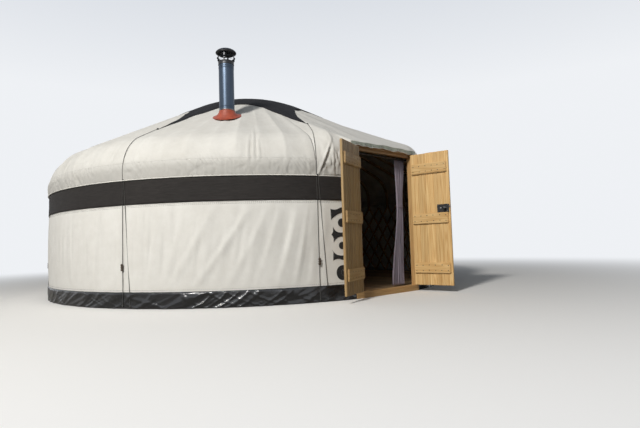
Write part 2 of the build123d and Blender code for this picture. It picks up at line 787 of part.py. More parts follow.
# Curtain and its rail inside the door
rail_height = door_head_under - rail_drop
rail_distance = frame_back - rail_gap
rail_half = half_opening + rail_overrun
rail = Pos(0, -rail_distance, rail_height) * Rot(0, 90, 0) * Cylinder(rail_radius, 2 * rail_half)
for side in (-1, 1):
    x = side * (rail_half - bracket_width / 2)
    rail += block((x - bracket_width / 2, -frame_back + seat, rail_height - rail_radius),
                  (x + bracket_width / 2, -rail_distance, rail_height + rail_radius))
save("curtain_rail", rail)


def curtain_slice(width, depth, z):
    return Pos(curtain_middle, -rail_distance, z) * RectangleRounded(width, depth, depth / 2 - 1)


curtain_top = rail_height - rail_radius - seat
curtain_foot = floor_top + curtain_foot_gap
curtain = loft([
    curtain_slice(curtain_foot_width, curtain_depth, curtain_foot),
    curtain_slice(curtain_waist_width, curtain_waist_depth, curtain_waist_height),
    curtain_slice(curtain_top_width, curtain_top_depth, curtain_top),
], ruled=True)
save("curtain", curtain)

# Applied scroll panels on the white wall beside the door
scroll_low = skirt_height + scroll_above_skirt
scroll_high = band_low - scroll_below_band
scroll_face = ring_face(trim_inner, trim_inner + scroll_thick, scroll_low, scroll_high)
panels = [turned(scroll_face, -scroll_outer, -bay_half + spare_angle) - door_way,
          turned(scroll_face, bay_half - spare_angle, scroll_outer) - door_way]
save("scroll_panels", *panels)
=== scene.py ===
from math import cos, pi, radians, sin, sqrt, tan

import bmesh
import bpy
import numpy as np
from mathutils import Matrix, Vector


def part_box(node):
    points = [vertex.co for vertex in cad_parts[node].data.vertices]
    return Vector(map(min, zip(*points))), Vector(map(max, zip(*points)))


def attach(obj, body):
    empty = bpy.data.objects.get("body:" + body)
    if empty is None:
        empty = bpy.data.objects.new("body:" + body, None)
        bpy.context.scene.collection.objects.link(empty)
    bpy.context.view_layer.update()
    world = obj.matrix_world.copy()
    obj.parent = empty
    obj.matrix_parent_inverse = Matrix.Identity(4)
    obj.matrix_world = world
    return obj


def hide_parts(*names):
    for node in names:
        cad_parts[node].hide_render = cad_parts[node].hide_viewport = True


# A round lattice tent dressed with cloth, ropes, boards and fittings.
# Metres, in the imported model's frame: the door faces -Y, and azimuths are degrees from it towards +X.

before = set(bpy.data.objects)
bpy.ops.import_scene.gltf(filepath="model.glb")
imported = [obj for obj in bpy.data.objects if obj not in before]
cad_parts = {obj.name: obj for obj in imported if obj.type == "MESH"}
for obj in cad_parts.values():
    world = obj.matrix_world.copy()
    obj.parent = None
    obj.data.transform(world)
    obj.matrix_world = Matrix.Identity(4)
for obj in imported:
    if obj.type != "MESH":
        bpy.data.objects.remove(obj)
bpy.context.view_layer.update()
seed = np.random.default_rng(7)
bpy.context.scene.view_settings.view_transform = "Standard"


def levels(node):
    """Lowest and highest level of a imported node."""
    low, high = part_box(node)
    return low.z, high.z


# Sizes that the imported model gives
wall_low, wall_high = levels("wall_cloth_right_front")
wall_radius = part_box("wall_cloth_right_front")[1].x
band_low, band_high = levels("band_left")
skirt_high = levels("skirt_right_back")[1]
trim_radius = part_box("band_right")[1].x
roof_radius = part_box("roof_cloth_right_front")[1].x
sill_top = levels("door_sill")[1]
head_low = levels("door_jambs")[1]
jamb_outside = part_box("door_sill")[1].x
frame_front, frame_rear = (corner.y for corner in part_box("door_sill"))
floor_low, floor_top = levels("floor_boards")
floor_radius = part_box("floor_boards")[1].x
lattice_high = levels("lattice_2")[1]
flue_middle = (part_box("flue_pipe")[0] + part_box("flue_pipe")[1]) / 2
flue_high = levels("flue_pipe")[1]
cowl_low, cowl_top = levels("flue_cowl")

# Sizes of the roof's form, as in the part's source
roof_pitch = radians(27.0)
crown_radius = 1.080
crown_width = 0.060
crown_height = 2.853
eaves_bend = 0.510
bay_start = 20.0
bay_half = 11.5
fold_radius = 1.850
ridge_pitch = radians(23.7)
ridge_bend = 0.350
ridge_flat = 0.75
pole_count = 34
ridge_angle = 1.5 * 360 / pole_count
cloth = 0.006
seat = 0.0003
door_face = -frame_front

# Sizes of the cap, ropes, door and fittings
star_arms = 8
star_turn = -62.0
star_trough = 1.269
spike_reach = 2.48
spike_spread = 0.236
rope_radius = 0.005
stay_radius = 0.0038
rope_lean = 3.0
rope_spread = 1.9
rope_apart = 0.35
rope_foot = 0.020
rope_split = 1.440
flue_azimuth = -42.4
flue_distance = 2.030
flue_radius = 0.099
flap_drop = 0.060
leaf_thick = 0.028
leaf_boards = 5
leaf_meet = 0.004
leaf_side = 0.003
left_open = radians(157.5)
right_open = radians(100.3)
half_opening = 0.535
pin_proud = 0.008
leaf_low = sill_top + 0.008
leaf_high = head_low - 0.008
ledge_levels = (0.12, 0.50, 0.87)
ledge_thick = 0.024
ledge_height = 0.138
ledge_inset = 0.025

# Thickness of the cloths
canvas_thick = 0.003
trim_thick = 0.0025
vinyl_thick = 0.002
curtain_thick = 0.0012
felt_thick = 0.0022

# Camera of the photograph
camera_azimuth = 33.9
camera_distance = 8.226
camera_height = 0.654
camera_yaw = 0.1436
camera_pitch = 0.0632
camera_roll = -0.0306
focal_pixels = 470.0
photo_width = 640.0
sensor = 36.0


# Node building


def add(tree, kind, inputs=None, **settings):
    """Adds a node, with its inputs set or linked."""
    node = tree.nodes.new(kind)
    for key, value in settings.items():
        setattr(node, key, value)
    for key, value in (inputs or {}).items():
        if isinstance(value, bpy.types.NodeSocket):
            tree.links.new(value, node.inputs[key])
        else:
            node.inputs[key].default_value = value
    return node


def result_of(tree, kind, inputs=None, **settings):
    """Adds a node and gives its first output."""
    return add(tree, kind, inputs, **settings).outputs[0]


def reckon(tree, operation, *values):
    return result_of(tree, "ShaderNodeMath", dict(enumerate(values)), operation=operation)


def weighted(tree, *terms):
    """The sum of values, each with its weight."""
    total = None
    for value, weight in terms:
        part = reckon(tree, "MULTIPLY", value, weight)
        total = part if total is None else reckon(tree, "ADD", total, part)
    return total


def blended(tree, share, first, second, kind="MIX"):
    """A mix of two colours."""
    inputs = {0: share, 6: first, 7: second}
    return add(tree, "ShaderNodeMix", inputs, data_type="RGBA", blend_type=kind).outputs[2]


def ramp(tree, value, *stops):
    """Colours along a value; each stop is a place and a colour."""
    node = add(tree, "ShaderNodeValToRGB", {0: value})
    elements = node.color_ramp.elements
    elements[0].position, elements[0].color = stops[0][0], rgb(*stops[0][1])
    elements[1].position, elements[1].color = stops[-1][0], rgb(*stops[-1][1])
    for place, colour in stops[1:-1]:
        elements.new(place).color = rgb(*colour)
    return node.outputs[0]


def noise(tree, vector, scale, detail, rough, stretch=(1, 1, 1)):
    mapped = result_of(tree, "ShaderNodeMapping", {"Vector": vector, "Scale": stretch})
    inputs = {"Vector": mapped, "Scale": scale, "Detail": detail, "Roughness": rough}
    return result_of(tree, "ShaderNodeTexNoise", inputs)


def attribute(tree, name, output="Fac"):
    return add(tree, "ShaderNodeAttribute", attribute_name=name).outputs[output]


def object_place(tree):
    return add(tree, "ShaderNodeTexCoord").outputs["Object"]


def new_material(name):
    made = bpy.data.materials.new(name)
    made.use_nodes = True
    made.node_tree.nodes.clear()
    return made, made.node_tree


def surface(tree, colour, roughness, relief, strength, depth, **sockets):
    """Ends a material: its shader, its relief and its output."""
    inputs = {"Base Color": colour, "Roughness": roughness}
    inputs.update({key.replace("_", " "): value for key, value in sockets.items()})
    shader = add(tree, "ShaderNodeBsdfPrincipled", inputs)
    bump = add(tree, "ShaderNodeBump", {"Height": relief, "Strength": strength, "Distance": depth})
    tree.links.new(bump.outputs[0], shader.inputs["Normal"])
    add(tree, "ShaderNodeOutputMaterial", {"Surface": shader.outputs[0]})


def rgb(r, g, b):
    return (r, g, b, 1.0)


# Materials


wave_pitch = 0.314          # scale of the wave texture that gives one thread to the metre
# Painted shade in the cloth's hollows: its least share, and how dark it gets
fold_shade_base, fold_shade_tone = 0.18, 0.45


def woven(name, pale, dark, thread, roughness, stain, crumple, across=(1, 1, 1), sheen=0.1, gloss=0.5):
    """Canvas: crossing threads, faint stains, creases and painted shade in its hollows, along the UV map in
    metres.
    """
    made, tree = new_material(name)
    uv = result_of(tree, "ShaderNodeUVMap", uv_map="cloth")
    wave = {"Vector": uv, "Scale": wave_pitch / thread, "Distortion": 1.2, "Detail": 1.0}
    warp, weft = (add(tree, "ShaderNodeTexWave", wave, bands_direction=way).outputs[1] for way in "XY")
    threads = reckon(tree, "MULTIPLY", warp, weft)
    patches = noise(tree, uv, 1.7, 5.0, 0.6)
    creased = noise(tree, uv, 9.0, 6.0, 0.62, across)
    tone = weighted(tree, (patches, stain), (creased, 1.0 - stain))
    colour = ramp(tree, tone, (0.30, dark), (0.62, pale))
    colour = blended(tree, reckon(tree, "MULTIPLY", threads, 0.10), colour, rgb(*dark))
    # Painted shade: the colour darkens down in the folds and on the roof's gathered foot, more in some
    # patches than in others
    fold_shade_amount = reckon(tree, "MULTIPLY_ADD", patches, 0.5, fold_shade_base)
    painted_fold_shade = reckon(tree, "MULTIPLY", attribute(tree, "hollow"), fold_shade_amount)
    colour = blended(tree, painted_fold_shade, colour, rgb(*(part * fold_shade_tone for part in dark)))
    height = weighted(tree, (threads, 0.12), (creased, crumple))
    surface(tree, colour, roughness, height, 0.5, 0.004, Sheen_Weight=sheen, Specular_IOR_Level=gloss)
    return made


wood_roughness = 0.55
knot_tint = (0.42, 0.34, 0.28)


def timber(name, pale, dark, turn=None, knots=True, coat=0.0):
    """Planed softwood with growth lines, pores and knots; the grain runs along x of its own space."""
    made, tree = new_material(name)
    if turn is None:
        vector, tone = attribute(tree, "grain", "Vector"), attribute(tree, "tone")
    else:
        vector = result_of(tree, "ShaderNodeMapping", {"Vector": object_place(tree), "Rotation": turn})
        tone = 0.5
    broad = noise(tree, vector, 9.0, 2.0, 0.5, (0.05, 1, 1))
    lines = reckon(tree, "SINE", reckon(tree, "MULTIPLY", broad, 95.0))
    lines = reckon(tree, "MULTIPLY_ADD", lines, 0.5, 0.5)
    pores = noise(tree, vector, 210.0, 3.0, 0.6, (0.03, 1, 1))
    streaks = noise(tree, vector, 26.0, 4.0, 0.6, (0.05, 1, 1))
    amount = weighted(tree, (lines, 0.30), (pores, 0.30), (streaks, 0.45))
    middle = tuple((p + d) / 2 for p, d in zip(pale, dark))
    colour = ramp(tree, amount, (0.28, pale), (0.52, middle), (0.86, dark))
    shift = reckon(tree, "MULTIPLY_ADD", tone, 0.30, 0.85)
    shade = result_of(tree, "ShaderNodeCombineColor", {0: shift, 1: shift, 2: shift})
    colour = blended(tree, 1.0, colour, shade, "MULTIPLY")
    if knots:
        stretched = result_of(tree, "ShaderNodeMapping", {"Vector": vector, "Scale": (0.30, 1, 1)})
        cells = {"Vector": stretched, "Scale": 6.5, "Randomness": 1.0}
        spots = result_of(tree, "ShaderNodeTexVoronoi", cells)
        near = ramp(tree, spots, (0.035, (1, 1, 1)), (0.085, (0, 0, 0)))
        colour = blended(tree, near, colour, rgb(*(part * tint for part, tint in zip(dark, knot_tint))))
    rough = reckon(tree, "MULTIPLY_ADD", streaks, 0.25, wood_roughness - 0.12)
    surface(tree, colour, rough, amount, 0.35, 0.0012, Coat_Weight=coat)
    return made


def plain(name, pale, dark, roughness, metallic=0.0, scale=30.0, stretch=(1, 1, 1), relief=0.2, depth=0.0006,
          spread=0.12):
    """A mottled, slightly rough finish on the object's coordinates."""
    made, tree = new_material(name)
    place = object_place(tree)
    mottle = noise(tree, place, scale, 4.0, 0.6, stretch)
    fine = noise(tree, place, scale * 9, 3.0, 0.6, stretch)
    colour = ramp(tree, mottle, (0.32, dark), (0.66, pale))
    rough = reckon(tree, "MULTIPLY_ADD", fine, spread * 2, roughness - spread)
    surface(tree, colour, rough, reckon(tree, "ADD", mottle, fine), relief, depth, Metallic=metallic)
    return made


upright_grain = (0, pi / 2, 0)
level_grain = (0, 0, 0)
canvas_white = woven("canvas_white", (0.83, 0.815, 0.77), (0.74, 0.72, 0.67), 0.0022, 0.86, 0.55, 0.35)
canvas_roof = woven("canvas_roof", (0.77, 0.755, 0.71), (0.66, 0.64, 0.59), 0.0022, 0.86, 0.60, 0.35)
canvas_flap = woven("canvas_flap", (0.42, 0.45, 0.38), (0.20, 0.23, 0.18), 0.0022, 0.88, 0.45, 0.4)
canvas_band = woven("canvas_band", (0.034, 0.030, 0.028), (0.017, 0.015, 0.014), 0.0025, 0.80, 0.35, 0.8,
                    (1, 7, 1), sheen=0.02, gloss=0.25)
canvas_cap = woven("canvas_cap", (0.019, 0.018, 0.020), (0.009, 0.009, 0.010), 0.0025, 0.82, 0.45, 0.6,
                   sheen=0.0, gloss=0.15)
vinyl_skirt = woven("vinyl_skirt", (0.012, 0.012, 0.013), (0.005, 0.005, 0.006), 0.0030, 0.12, 0.5, 0.4,
                    sheen=0.0, gloss=0.80)
curtain_cloth = woven("curtain_cloth", (0.34, 0.29, 0.34), (0.21, 0.18, 0.22), 0.0010, 0.80, 0.6, 0.1)
felt_black = woven("felt_black", (0.020, 0.019, 0.019), (0.010, 0.010, 0.010), 0.0040, 0.95, 0.5, 0.2)
pine_boards = timber("pine_boards", (0.80, 0.56, 0.26), (0.56, 0.31, 0.10), coat=0.08)
pine_floor = timber("pine_floor", (0.58, 0.40, 0.23), (0.34, 0.20, 0.10))
pine_upright = timber("pine_upright", (0.62, 0.40, 0.17), (0.42, 0.22, 0.08), upright_grain)
pine_level = timber("pine_level", (0.62, 0.40, 0.17), (0.42, 0.22, 0.08), level_grain)
# Darker than the other frame timber: painted shadow of the drip flap on the door head
pine_head_shaded = timber("pine_head_shaded", (0.44, 0.28, 0.13), (0.28, 0.15, 0.06), level_grain)
pine_joists = timber("pine_joists", (0.52, 0.36, 0.20), (0.33, 0.20, 0.10), level_grain)
ash_poles = timber("ash_poles", (0.56, 0.40, 0.23), (0.38, 0.24, 0.12), upright_grain, knots=False)
ash_laths = timber("ash_laths", (0.58, 0.42, 0.25), (0.40, 0.26, 0.13), upright_grain, knots=False)
iron_black = plain("iron_black", (0.030, 0.030, 0.031), (0.014, 0.014, 0.015), 0.45, scale=60.0)
# Dark blue base colour: painted reflection of a dark blue sky on the steel
steel_flue_sky_tinted = plain("steel_flue_sky_tinted", (0.080, 0.104, 0.140), (0.054, 0.071, 0.097), 0.40, 1.0, 14.0, (1, 1, 0.05),
                   0.05, 0.0003, 0.05)
steel_cowl = plain("steel_cowl", (0.035, 0.036, 0.040), (0.016, 0.016, 0.018), 0.40, 0.4, 25.0)
steel_worn = plain("steel_worn", (0.30, 0.29, 0.29), (0.12, 0.11, 0.11), 0.42, 0.9, 40.0)
rubber_boot = plain("rubber_boot", (0.42, 0.085, 0.042), (0.29, 0.055, 0.027), 0.52, 0.0, 18.0)
rope_dark = plain("rope_dark", (0.115, 0.112, 0.105), (0.050, 0.048, 0.046), 0.85, 0.0, 220.0)
toggle_wood = plain("toggle_wood", (0.075, 0.050, 0.032), (0.035, 0.024, 0.016), 0.50, 0.0, 60.0, (1, 1, 0.2))
thread_pale = plain("thread_pale", (0.62, 0.60, 0.55), (0.48, 0.46, 0.42), 0.9, 0.0, 300.0)
thread_dark = plain("thread_dark", (0.10, 0.095, 0.09), (0.05, 0.048, 0.045), 0.9, 0.0, 300.0)
hide_thong = plain("hide_thong", (0.16, 0.10, 0.06), (0.07, 0.045, 0.03), 0.7, 0.0, 200.0)


# Shape tools


hollow_depth = 0.020        # depth of a fold that gets the full painted shade
hollow_share = 0.55
foot_shade = 0.95            # painted shade on the roof's gathered foot
foot_shade_low, foot_shade_high = 1.53, 1.70
table_rows = 64
weld_cloth, weld_turned = 0.00005, 0.00002
panel_shift = 0.37          # metres between the UV maps of one sheet's panels


def value_noise(u, v, cells, key):
    """Smooth random values between -1 and 1 that repeat after a number of cells along u."""
    table = np.random.default_rng(key).uniform(-1, 1, (cells, table_rows))
    iu, iv = np.floor(u).astype(int), np.floor(v).astype(int)
    fu, fv = u - iu, v - iv
    fu, fv = fu * fu * (3 - 2 * fu), fv * fv * (3 - 2 * fv)

    def row(j):
        return table[iu % cells, j % table_rows] * (1 - fu) + table[(iu + 1) % cells, j % table_rows] * fu

    return row(iv) * (1 - fv) + row(iv + 1) * fv


def random_round(radius):
    """Random values round a wall of a radius, in cells of a width and a height in metres."""
    def values(run, width, rise, height, key):
        return value_noise(run / width, rise / height, round(2 * pi * radius / width), key)

    return values


def smooth(low, high, value):
    share = np.clip((value - low) / (high - low), 0, 1)
    return share * share * (3 - 2 * share)


def swung(azimuth):
    """An azimuth brought between -180 and 180 degrees."""
    return (azimuth + 180) % 360 - 180


def around(radius, azimuth, height):
    """Points at azimuths in degrees."""
    angle = np.radians(azimuth)
    return np.stack([radius * np.sin(angle), -radius * np.cos(angle), height + 0 * angle], -1)


def across_and_out(azimuth):
    """Level directions at an azimuth: along the wall and away from the middle."""
    flat = radians(azimuth)
    return np.array((cos(flat), sin(flat), 0)), np.array((sin(flat), -cos(flat), 0))


def circle(points, radius=1.0):
    """Cosines and sines of points evenly spaced round a closed circle."""
    turns = np.linspace(0, 2 * pi, points)
    return radius * np.cos(turns), radius * np.sin(turns)


def normals(grid):
    """Outward normals of a grid whose rows run downwards and whose columns run with the azimuth."""
    found = np.cross(np.gradient(grid, axis=0), np.gradient(grid, axis=1))
    return found / np.maximum(np.linalg.norm(found, axis=-1, keepdims=True), 1e-9)


def lengths(grid):
    """Metres across the widest row and down the columns, for a cloth's UV map and flat size."""
    across = np.linalg.norm(np.diff(grid, axis=1), axis=-1).max(axis=0)
    down = np.linalg.norm(np.diff(grid, axis=0), axis=-1).mean(axis=1)
    return np.concatenate([[0], np.cumsum(across)]), np.concatenate([[0], np.cumsum(down)])


def hollows(grid, roof):
    """Painted shade: 0 on the open cloth and up to 1 down in its folds and, on the roof, where its foot is
    gathered.
    """
    facing = normals(grid)
    total = 0
    for step in (1, 2, 4):
        beside = np.pad(grid, ((0, 0), (step, step), (0, 0)), mode="edge")
        middle = (beside[:, :-2 * step] + beside[:, 2 * step:]) / 2
        total = total + np.sum((middle - grid) * facing, axis=-1)
    foot = smooth(foot_shade_high, foot_shade_low, grid[..., 2]) * foot_shade if roof else 0
    return np.clip(np.clip(total / hollow_depth, 0, 1) * hollow_share + foot, 0, 1)


def placed_in_scene(name, data):
    made = bpy.data.objects.new(name, data)
    bpy.context.scene.collection.objects.link(made)
    return made


def new_object(name, mesh, material, body="frame"):
    made = placed_in_scene(name, mesh)
    mesh.materials.append(material)
    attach(made, body)
    return made


def stands_for(piece, node):
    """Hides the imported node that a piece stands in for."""
    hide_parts(node)


def settled(made):
    """Turns an object with modifiers into a plain mesh."""
    graph = bpy.context.evaluated_depsgraph_get()
    graph.update()
    plain_mesh = bpy.data.meshes.new_from_object(made.evaluated_get(graph))
    made.modifiers.clear()
    old = made.data
    made.data = plain_mesh
    if old.users == 0:
        bpy.data.meshes.remove(old)
    return made


def thickened(made, thickness):
    """Gives a sheet its thickness, inwards."""
    shell = made.modifiers.new("thickness", "SOLIDIFY")
    shell.thickness, shell.offset = thickness, -1
    return settled(made)


def shade_smooth(made, edge=None):
    """Smooth shading; edges sharper than an angle in degrees stay sharp."""
    made.data.polygons.foreach_set("use_smooth", [True] * len(made.data.polygons))
    if edge:
        made.data.set_sharp_from_angle(angle=radians(edge))
    return made


def drawn(work, name):
    """The mesh of a finished bmesh."""
    mesh = bpy.data.meshes.new(name)
    work.to_mesh(mesh)
    work.free()
    return mesh


def welded(mesh, distance, sides=0):
    """Merges doubles. With sides given, holes of up to so many sides are closed and the faces turned
    outwards; otherwise loose points are dropped."""
    work = bmesh.new()
    work.from_mesh(mesh)
    bmesh.ops.remove_doubles(work, verts=work.verts, dist=distance)
    if sides:
        bmesh.ops.holes_fill(work, edges=work.edges[:], sides=sides)
        bmesh.ops.recalc_face_normals(work, faces=work.faces[:])
    else:
        bmesh.ops.delete(work, geom=[v for v in work.verts if not v.link_faces], context="VERTS")
    work.to_mesh(mesh)
    work.free()


def cloth_grid(name, grids, material, thickness, keep=None):
    """A sheet from grids of points, given a thickness inwards; keep tells which of its faces stay."""
    verts, faces, uvs, fold_shades = [], [], [], []
    for number, grid in enumerate(grids):
        rows, columns = grid.shape[:2]
        start = len(verts)
        across, down = lengths(grid)
        verts.extend(map(tuple, grid.reshape(-1, 3)))
        uvs.extend((across[c] + panel_shift * number, -down[r]) for r in range(rows) for c in range(columns))
        fold_shades.append(hollows(grid, material == canvas_roof).ravel())
        for r in range(rows - 1):
            for c in range(columns - 1):
                if keep is None or keep(grid[r:r + 2, c:c + 2].mean(axis=(0, 1))):
                    at = start + r * columns + c
                    faces.append((at, at + columns, at + columns + 1, at + 1))
    mesh = bpy.data.meshes.new(name)
    mesh.from_pydata(verts, [], faces)
    layer = mesh.uv_layers.new(name="cloth")
    corners = np.empty(len(mesh.loops), dtype=np.int32)
    mesh.loops.foreach_get("vertex_index", corners)
    layer.data.foreach_set("uv", np.array(uvs, dtype=np.float32)[corners].ravel())
    mesh.attributes.new("hollow", "FLOAT", "POINT").data.foreach_set("value", np.concatenate(fold_shades))
    welded(mesh, weld_cloth)
    return shade_smooth(thickened(new_object(name, mesh, material), thickness))


def sheet_size(grids):
    """Flat width, length and area of a sheet made of grids side by side."""
    area = width = length = 0.0
    for grid in grids:
        across, down = lengths(grid)
        width, length = width + across[-1], max(length, down[-1])
        sides = np.cross(grid[1:, :-1] - grid[:-1, :-1], grid[:-1, 1:] - grid[:-1, :-1])
        area += float(np.linalg.norm(sides, axis=-1).sum())
    return width, length, area


def declare(piece, grids, held, **carried):
    """Works out the flat width, length and area of a cloth's grids, and keeps none of them."""
    width, length, area = sheet_size(grids)
    min(area, width * length)


# Repeating small pieces: a tree that sets a copy at every step along a line, or at every point.
# Each kind below is a tree with its material.


def tree_with(name, *sockets):
    """A geometry tree with a geometry input and number inputs."""
    tree = bpy.data.node_groups.new(name, "GeometryNodeTree")
    tree.interface.new_socket("Geometry", in_out="INPUT", socket_type="NodeSocketGeometry")
    for label, value in sockets:
        socket = tree.interface.new_socket(label, in_out="INPUT", socket_type="NodeSocketFloat")
        socket.default_value = value
    tree.interface.new_socket("Geometry", in_out="OUTPUT", socket_type="NodeSocketGeometry")
    return tree, add(tree, "NodeGroupInput").outputs


def finish_tree(tree, geometry, material):
    real = result_of(tree, "GeometryNodeRealizeInstances", {0: geometry})
    painted = result_of(tree, "GeometryNodeSetMaterial", {"Geometry": real, "Material": material})
    add(tree, "NodeGroupOutput", {0: painted})
    return tree, material


def stepped_curve(tree, inputs, step):
    """The lines that come in, as curves with points at even steps."""
    curve = result_of(tree, "GeometryNodeMeshToCurve", {0: inputs["Geometry"]})
    even = {"Curve": curve, "Length": inputs[step]}
    return result_of(tree, "GeometryNodeResampleCurve", even, mode="LENGTH")


def copies_on(tree, points, shape, direction):
    """A copy of a shape on every point, its z axis along a direction."""
    turn = result_of(tree, "FunctionNodeAlignRotationToVector", {"Vector": direction}, axis="Z")
    placed = {"Points": points, "Instance": shape, "Rotation": turn}
    return result_of(tree, "GeometryNodeInstanceOnPoints", placed)


def swept(tree, curve, profile):
    """A closed solid along a curve."""
    parts = {"Curve": curve, "Profile Curve": profile, "Fill Caps": True}
    return result_of(tree, "GeometryNodeCurveToMesh", parts)


def stitch_tree(material):
    """Short threads laid along each line."""
    tree, inputs = tree_with("stitches", ("Pitch", 0.014), ("Length", 0.009), ("Radius", 0.0007))
    sizes = {"Vertices": 4, "Radius": inputs["Radius"], "Depth": inputs["Length"]}
    thread = result_of(tree, "GeometryNodeMeshCylinder", sizes)
    tangent = result_of(tree, "GeometryNodeInputTangent")
    copies = copies_on(tree, stepped_curve(tree, inputs, "Pitch"), thread, tangent)
    return finish_tree(tree, copies, material)


def stud_tree(material, name, segments=10, rings=6):
    """A low domed head at every point, facing the point's outward direction."""
    tree, inputs = tree_with(name, ("Radius", 0.004), ("Rise", 0.002))
    sizes = {"Segments": segments, "Rings": rings, "Radius": inputs["Radius"]}
    dome = result_of(tree, "GeometryNodeMeshUVSphere", sizes)
    squeeze = reckon(tree, "DIVIDE", inputs["Rise"], inputs["Radius"])
    scale = result_of(tree, "ShaderNodeCombineXYZ", {0: 1.0, 1: 1.0, 2: squeeze})
    low = result_of(tree, "GeometryNodeTransform", {"Geometry": dome, "Scale": scale})
    outward = add(tree, "GeometryNodeInputNamedAttribute", {"Name": "outward"}, data_type="FLOAT_VECTOR")
    points = result_of(tree, "GeometryNodeMeshToPoints", {0: inputs["Geometry"]})
    return finish_tree(tree, copies_on(tree, points, low, outward.outputs[0]), material)


def rope_tree(material):
    """A three-strand rope along each line."""
    strands, strand_round = 3, 0.16
    tree, inputs = tree_with("laid_rope", ("Radius", stay_radius), ("Step", 0.009), ("Lay", 0.045))
    run = add(tree, "GeometryNodeSplineParameter").outputs["Length"]
    tilt = reckon(tree, "MULTIPLY", reckon(tree, "DIVIDE", run, inputs["Lay"]), 2 * pi)
    line = {"Curve": stepped_curve(tree, inputs, "Step"), "Tilt": tilt}
    twisted = result_of(tree, "GeometryNodeSetCurveTilt", line)
    ring = result_of(tree, "GeometryNodeCurvePrimitiveCircle", {"Resolution": 3 * strands, "Radius": 1.0})
    index = result_of(tree, "GeometryNodeInputIndex")
    corner = reckon(tree, "COSINE", reckon(tree, "MULTIPLY", index, 2 * pi / strands))
    lobe = reckon(tree, "MULTIPLY_ADD", corner, strand_round, 1 - strand_round)
    swell = reckon(tree, "MULTIPLY", lobe, inputs["Radius"])
    place = result_of(tree, "GeometryNodeInputPosition")
    lobed = result_of(tree, "ShaderNodeVectorMath", {0: place, 3: swell}, operation="SCALE")
    profile = result_of(tree, "GeometryNodeSetPosition", {"Geometry": ring, "Position": lobed})
    return finish_tree(tree, swept(tree, twisted, profile), material)


def hem_tree(material):
    """A round hem or wire along each line."""
    tree, inputs = tree_with("rolled_hem", ("Radius", 0.004), ("Step", 0.02))
    sizes = {"Resolution": 8, "Radius": inputs["Radius"]}
    ring = result_of(tree, "GeometryNodeCurvePrimitiveCircle", sizes)
    return finish_tree(tree, swept(tree, stepped_curve(tree, inputs, "Step"), ring), material)


stitches_pale = stitch_tree(thread_pale)
stitches_dark = stitch_tree(thread_dark)
hem_white = hem_tree(canvas_white)
laid_rope = rope_tree(rope_dark)
hem_tie = hem_tree(curtain_cloth)
ring_wire = hem_tree(iron_black)
studs_iron = stud_tree(iron_black, "iron_studs")
studs_steel = stud_tree(steel_worn, "steel_studs")
thong_knots = stud_tree(hide_thong, "thong_knots", 6, 4)


def grown(name, lines, kind, body="frame", outward=None, **sizes):
    """Runs a kind's tree on lines or lone points and keeps the mesh that it makes."""
    tree, material = kind
    verts, edges = [], []
    for line in lines:
        edges.extend((len(verts) + i, len(verts) + i + 1) for i in range(len(line) - 1))
        verts.extend(tuple(p) for p in line)
    mesh = bpy.data.meshes.new(name)
    mesh.from_pydata(verts, edges, [])
    if outward is not None:
        layer = mesh.attributes.new("outward", "FLOAT_VECTOR", "POINT")
        layer.data.foreach_set("vector", np.array(outward, dtype=np.float32).ravel())
    made = new_object(name, mesh, material, body)
    modifier = made.modifiers.new("repeat", "NODES")
    modifier.node_group = tree
    for item in tree.interface.items_tree:
        if item.in_out == "INPUT" and item.name in sizes:
            modifier[item.identifier] = sizes[item.name]
    return shade_smooth(settled(made))


def stitched(name, lines, kind, pitch=0.022, length=0.012, radius=0.0009):
    """Rows of stitches along lines."""
    return grown(name, lines, kind, Pitch=pitch, Length=length, Radius=radius)


def studded(name, spots, outward, kind, radius, rise, body="frame"):
    """A head at each spot, all facing one way or each its own."""
    facings = outward if isinstance(outward, list) else [outward] * len(spots)
    return grown(name, [[spot] for spot in spots], kind, body, facings, Radius=radius, Rise=rise)


# Where the ropes run, and how the cloth lies


rope_azimuths = [swung(star_turn + k * 360 / star_arms) for k in range(star_arms)]
gather_low = band_high + seat
gather_high = 1.625
gather_stand, gather_deepest = 0.0050, 0.0075
gather_belly, belly_height = 0.012, 0.22
roof_noise = random_round(roof_radius)


def rope_away(azimuth):
    """Which way a rope's foot leans: away from the door."""
    return 1 if azimuth > 0 else -1


def rope_on_wall(azimuth):
    return azimuth + (rope_away(azimuth) * rope_lean if abs(azimuth) < bay_start else 0)


def beside_rope(azimuth, width):
    """0 under a rope and 1 away from it; width is in metres."""
    free = np.ones_like(azimuth)
    for start in rope_azimuths:
        turn = swung(azimuth - rope_on_wall(start))
        free *= 1 - np.exp(-(np.radians(turn) * wall_radius / width) ** 2)
    return free


def valley(value, width):
    """Narrow creases where a random value crosses nought."""
    return np.clip(1 - np.abs(value) / width, 0, 1)


def gather(azimuth, height):
    """How far the gathered eaves stand off: narrow slanting pleats that fade into the slope."""
    run = np.radians(azimuth) * roof_radius
    rise = height - gather_low
    wander = 0.010 * roof_noise(run, 0.14, height, 0.10, 11)
    fine = roof_noise(run + wander, 0.0175, height, 0.22, 12)
    broad = roof_noise(run + 2 * wander, 0.055, height, 0.12, 13)
    slant = valley(roof_noise(run + 0.75 * rise + 2 * wander, 0.050, height, 0.16, 14), 0.32)
    counter = valley(roof_noise(run - 0.55 * rise, 0.070, height, 0.18, 16), 0.26)
    grip = 0.60 + 0.40 * roof_noise(run, 0.40, height * 0, 1, 15)
    depth = grip * (0.0036 * fine + 0.0030 * broad - 0.0095 * slant - 0.0085 * counter)
    belly = gather_belly * np.sin(pi * np.clip(rise / belly_height, 0, 1))
    return np.maximum(depth + gather_stand, -gather_deepest) + belly


def slope_height(radius):
    return crown_height - tan(roof_pitch) * (radius - crown_radius)


def ridge_height(radius):
    return slope_height(fold_radius) - tan(ridge_pitch) * (radius - fold_radius)


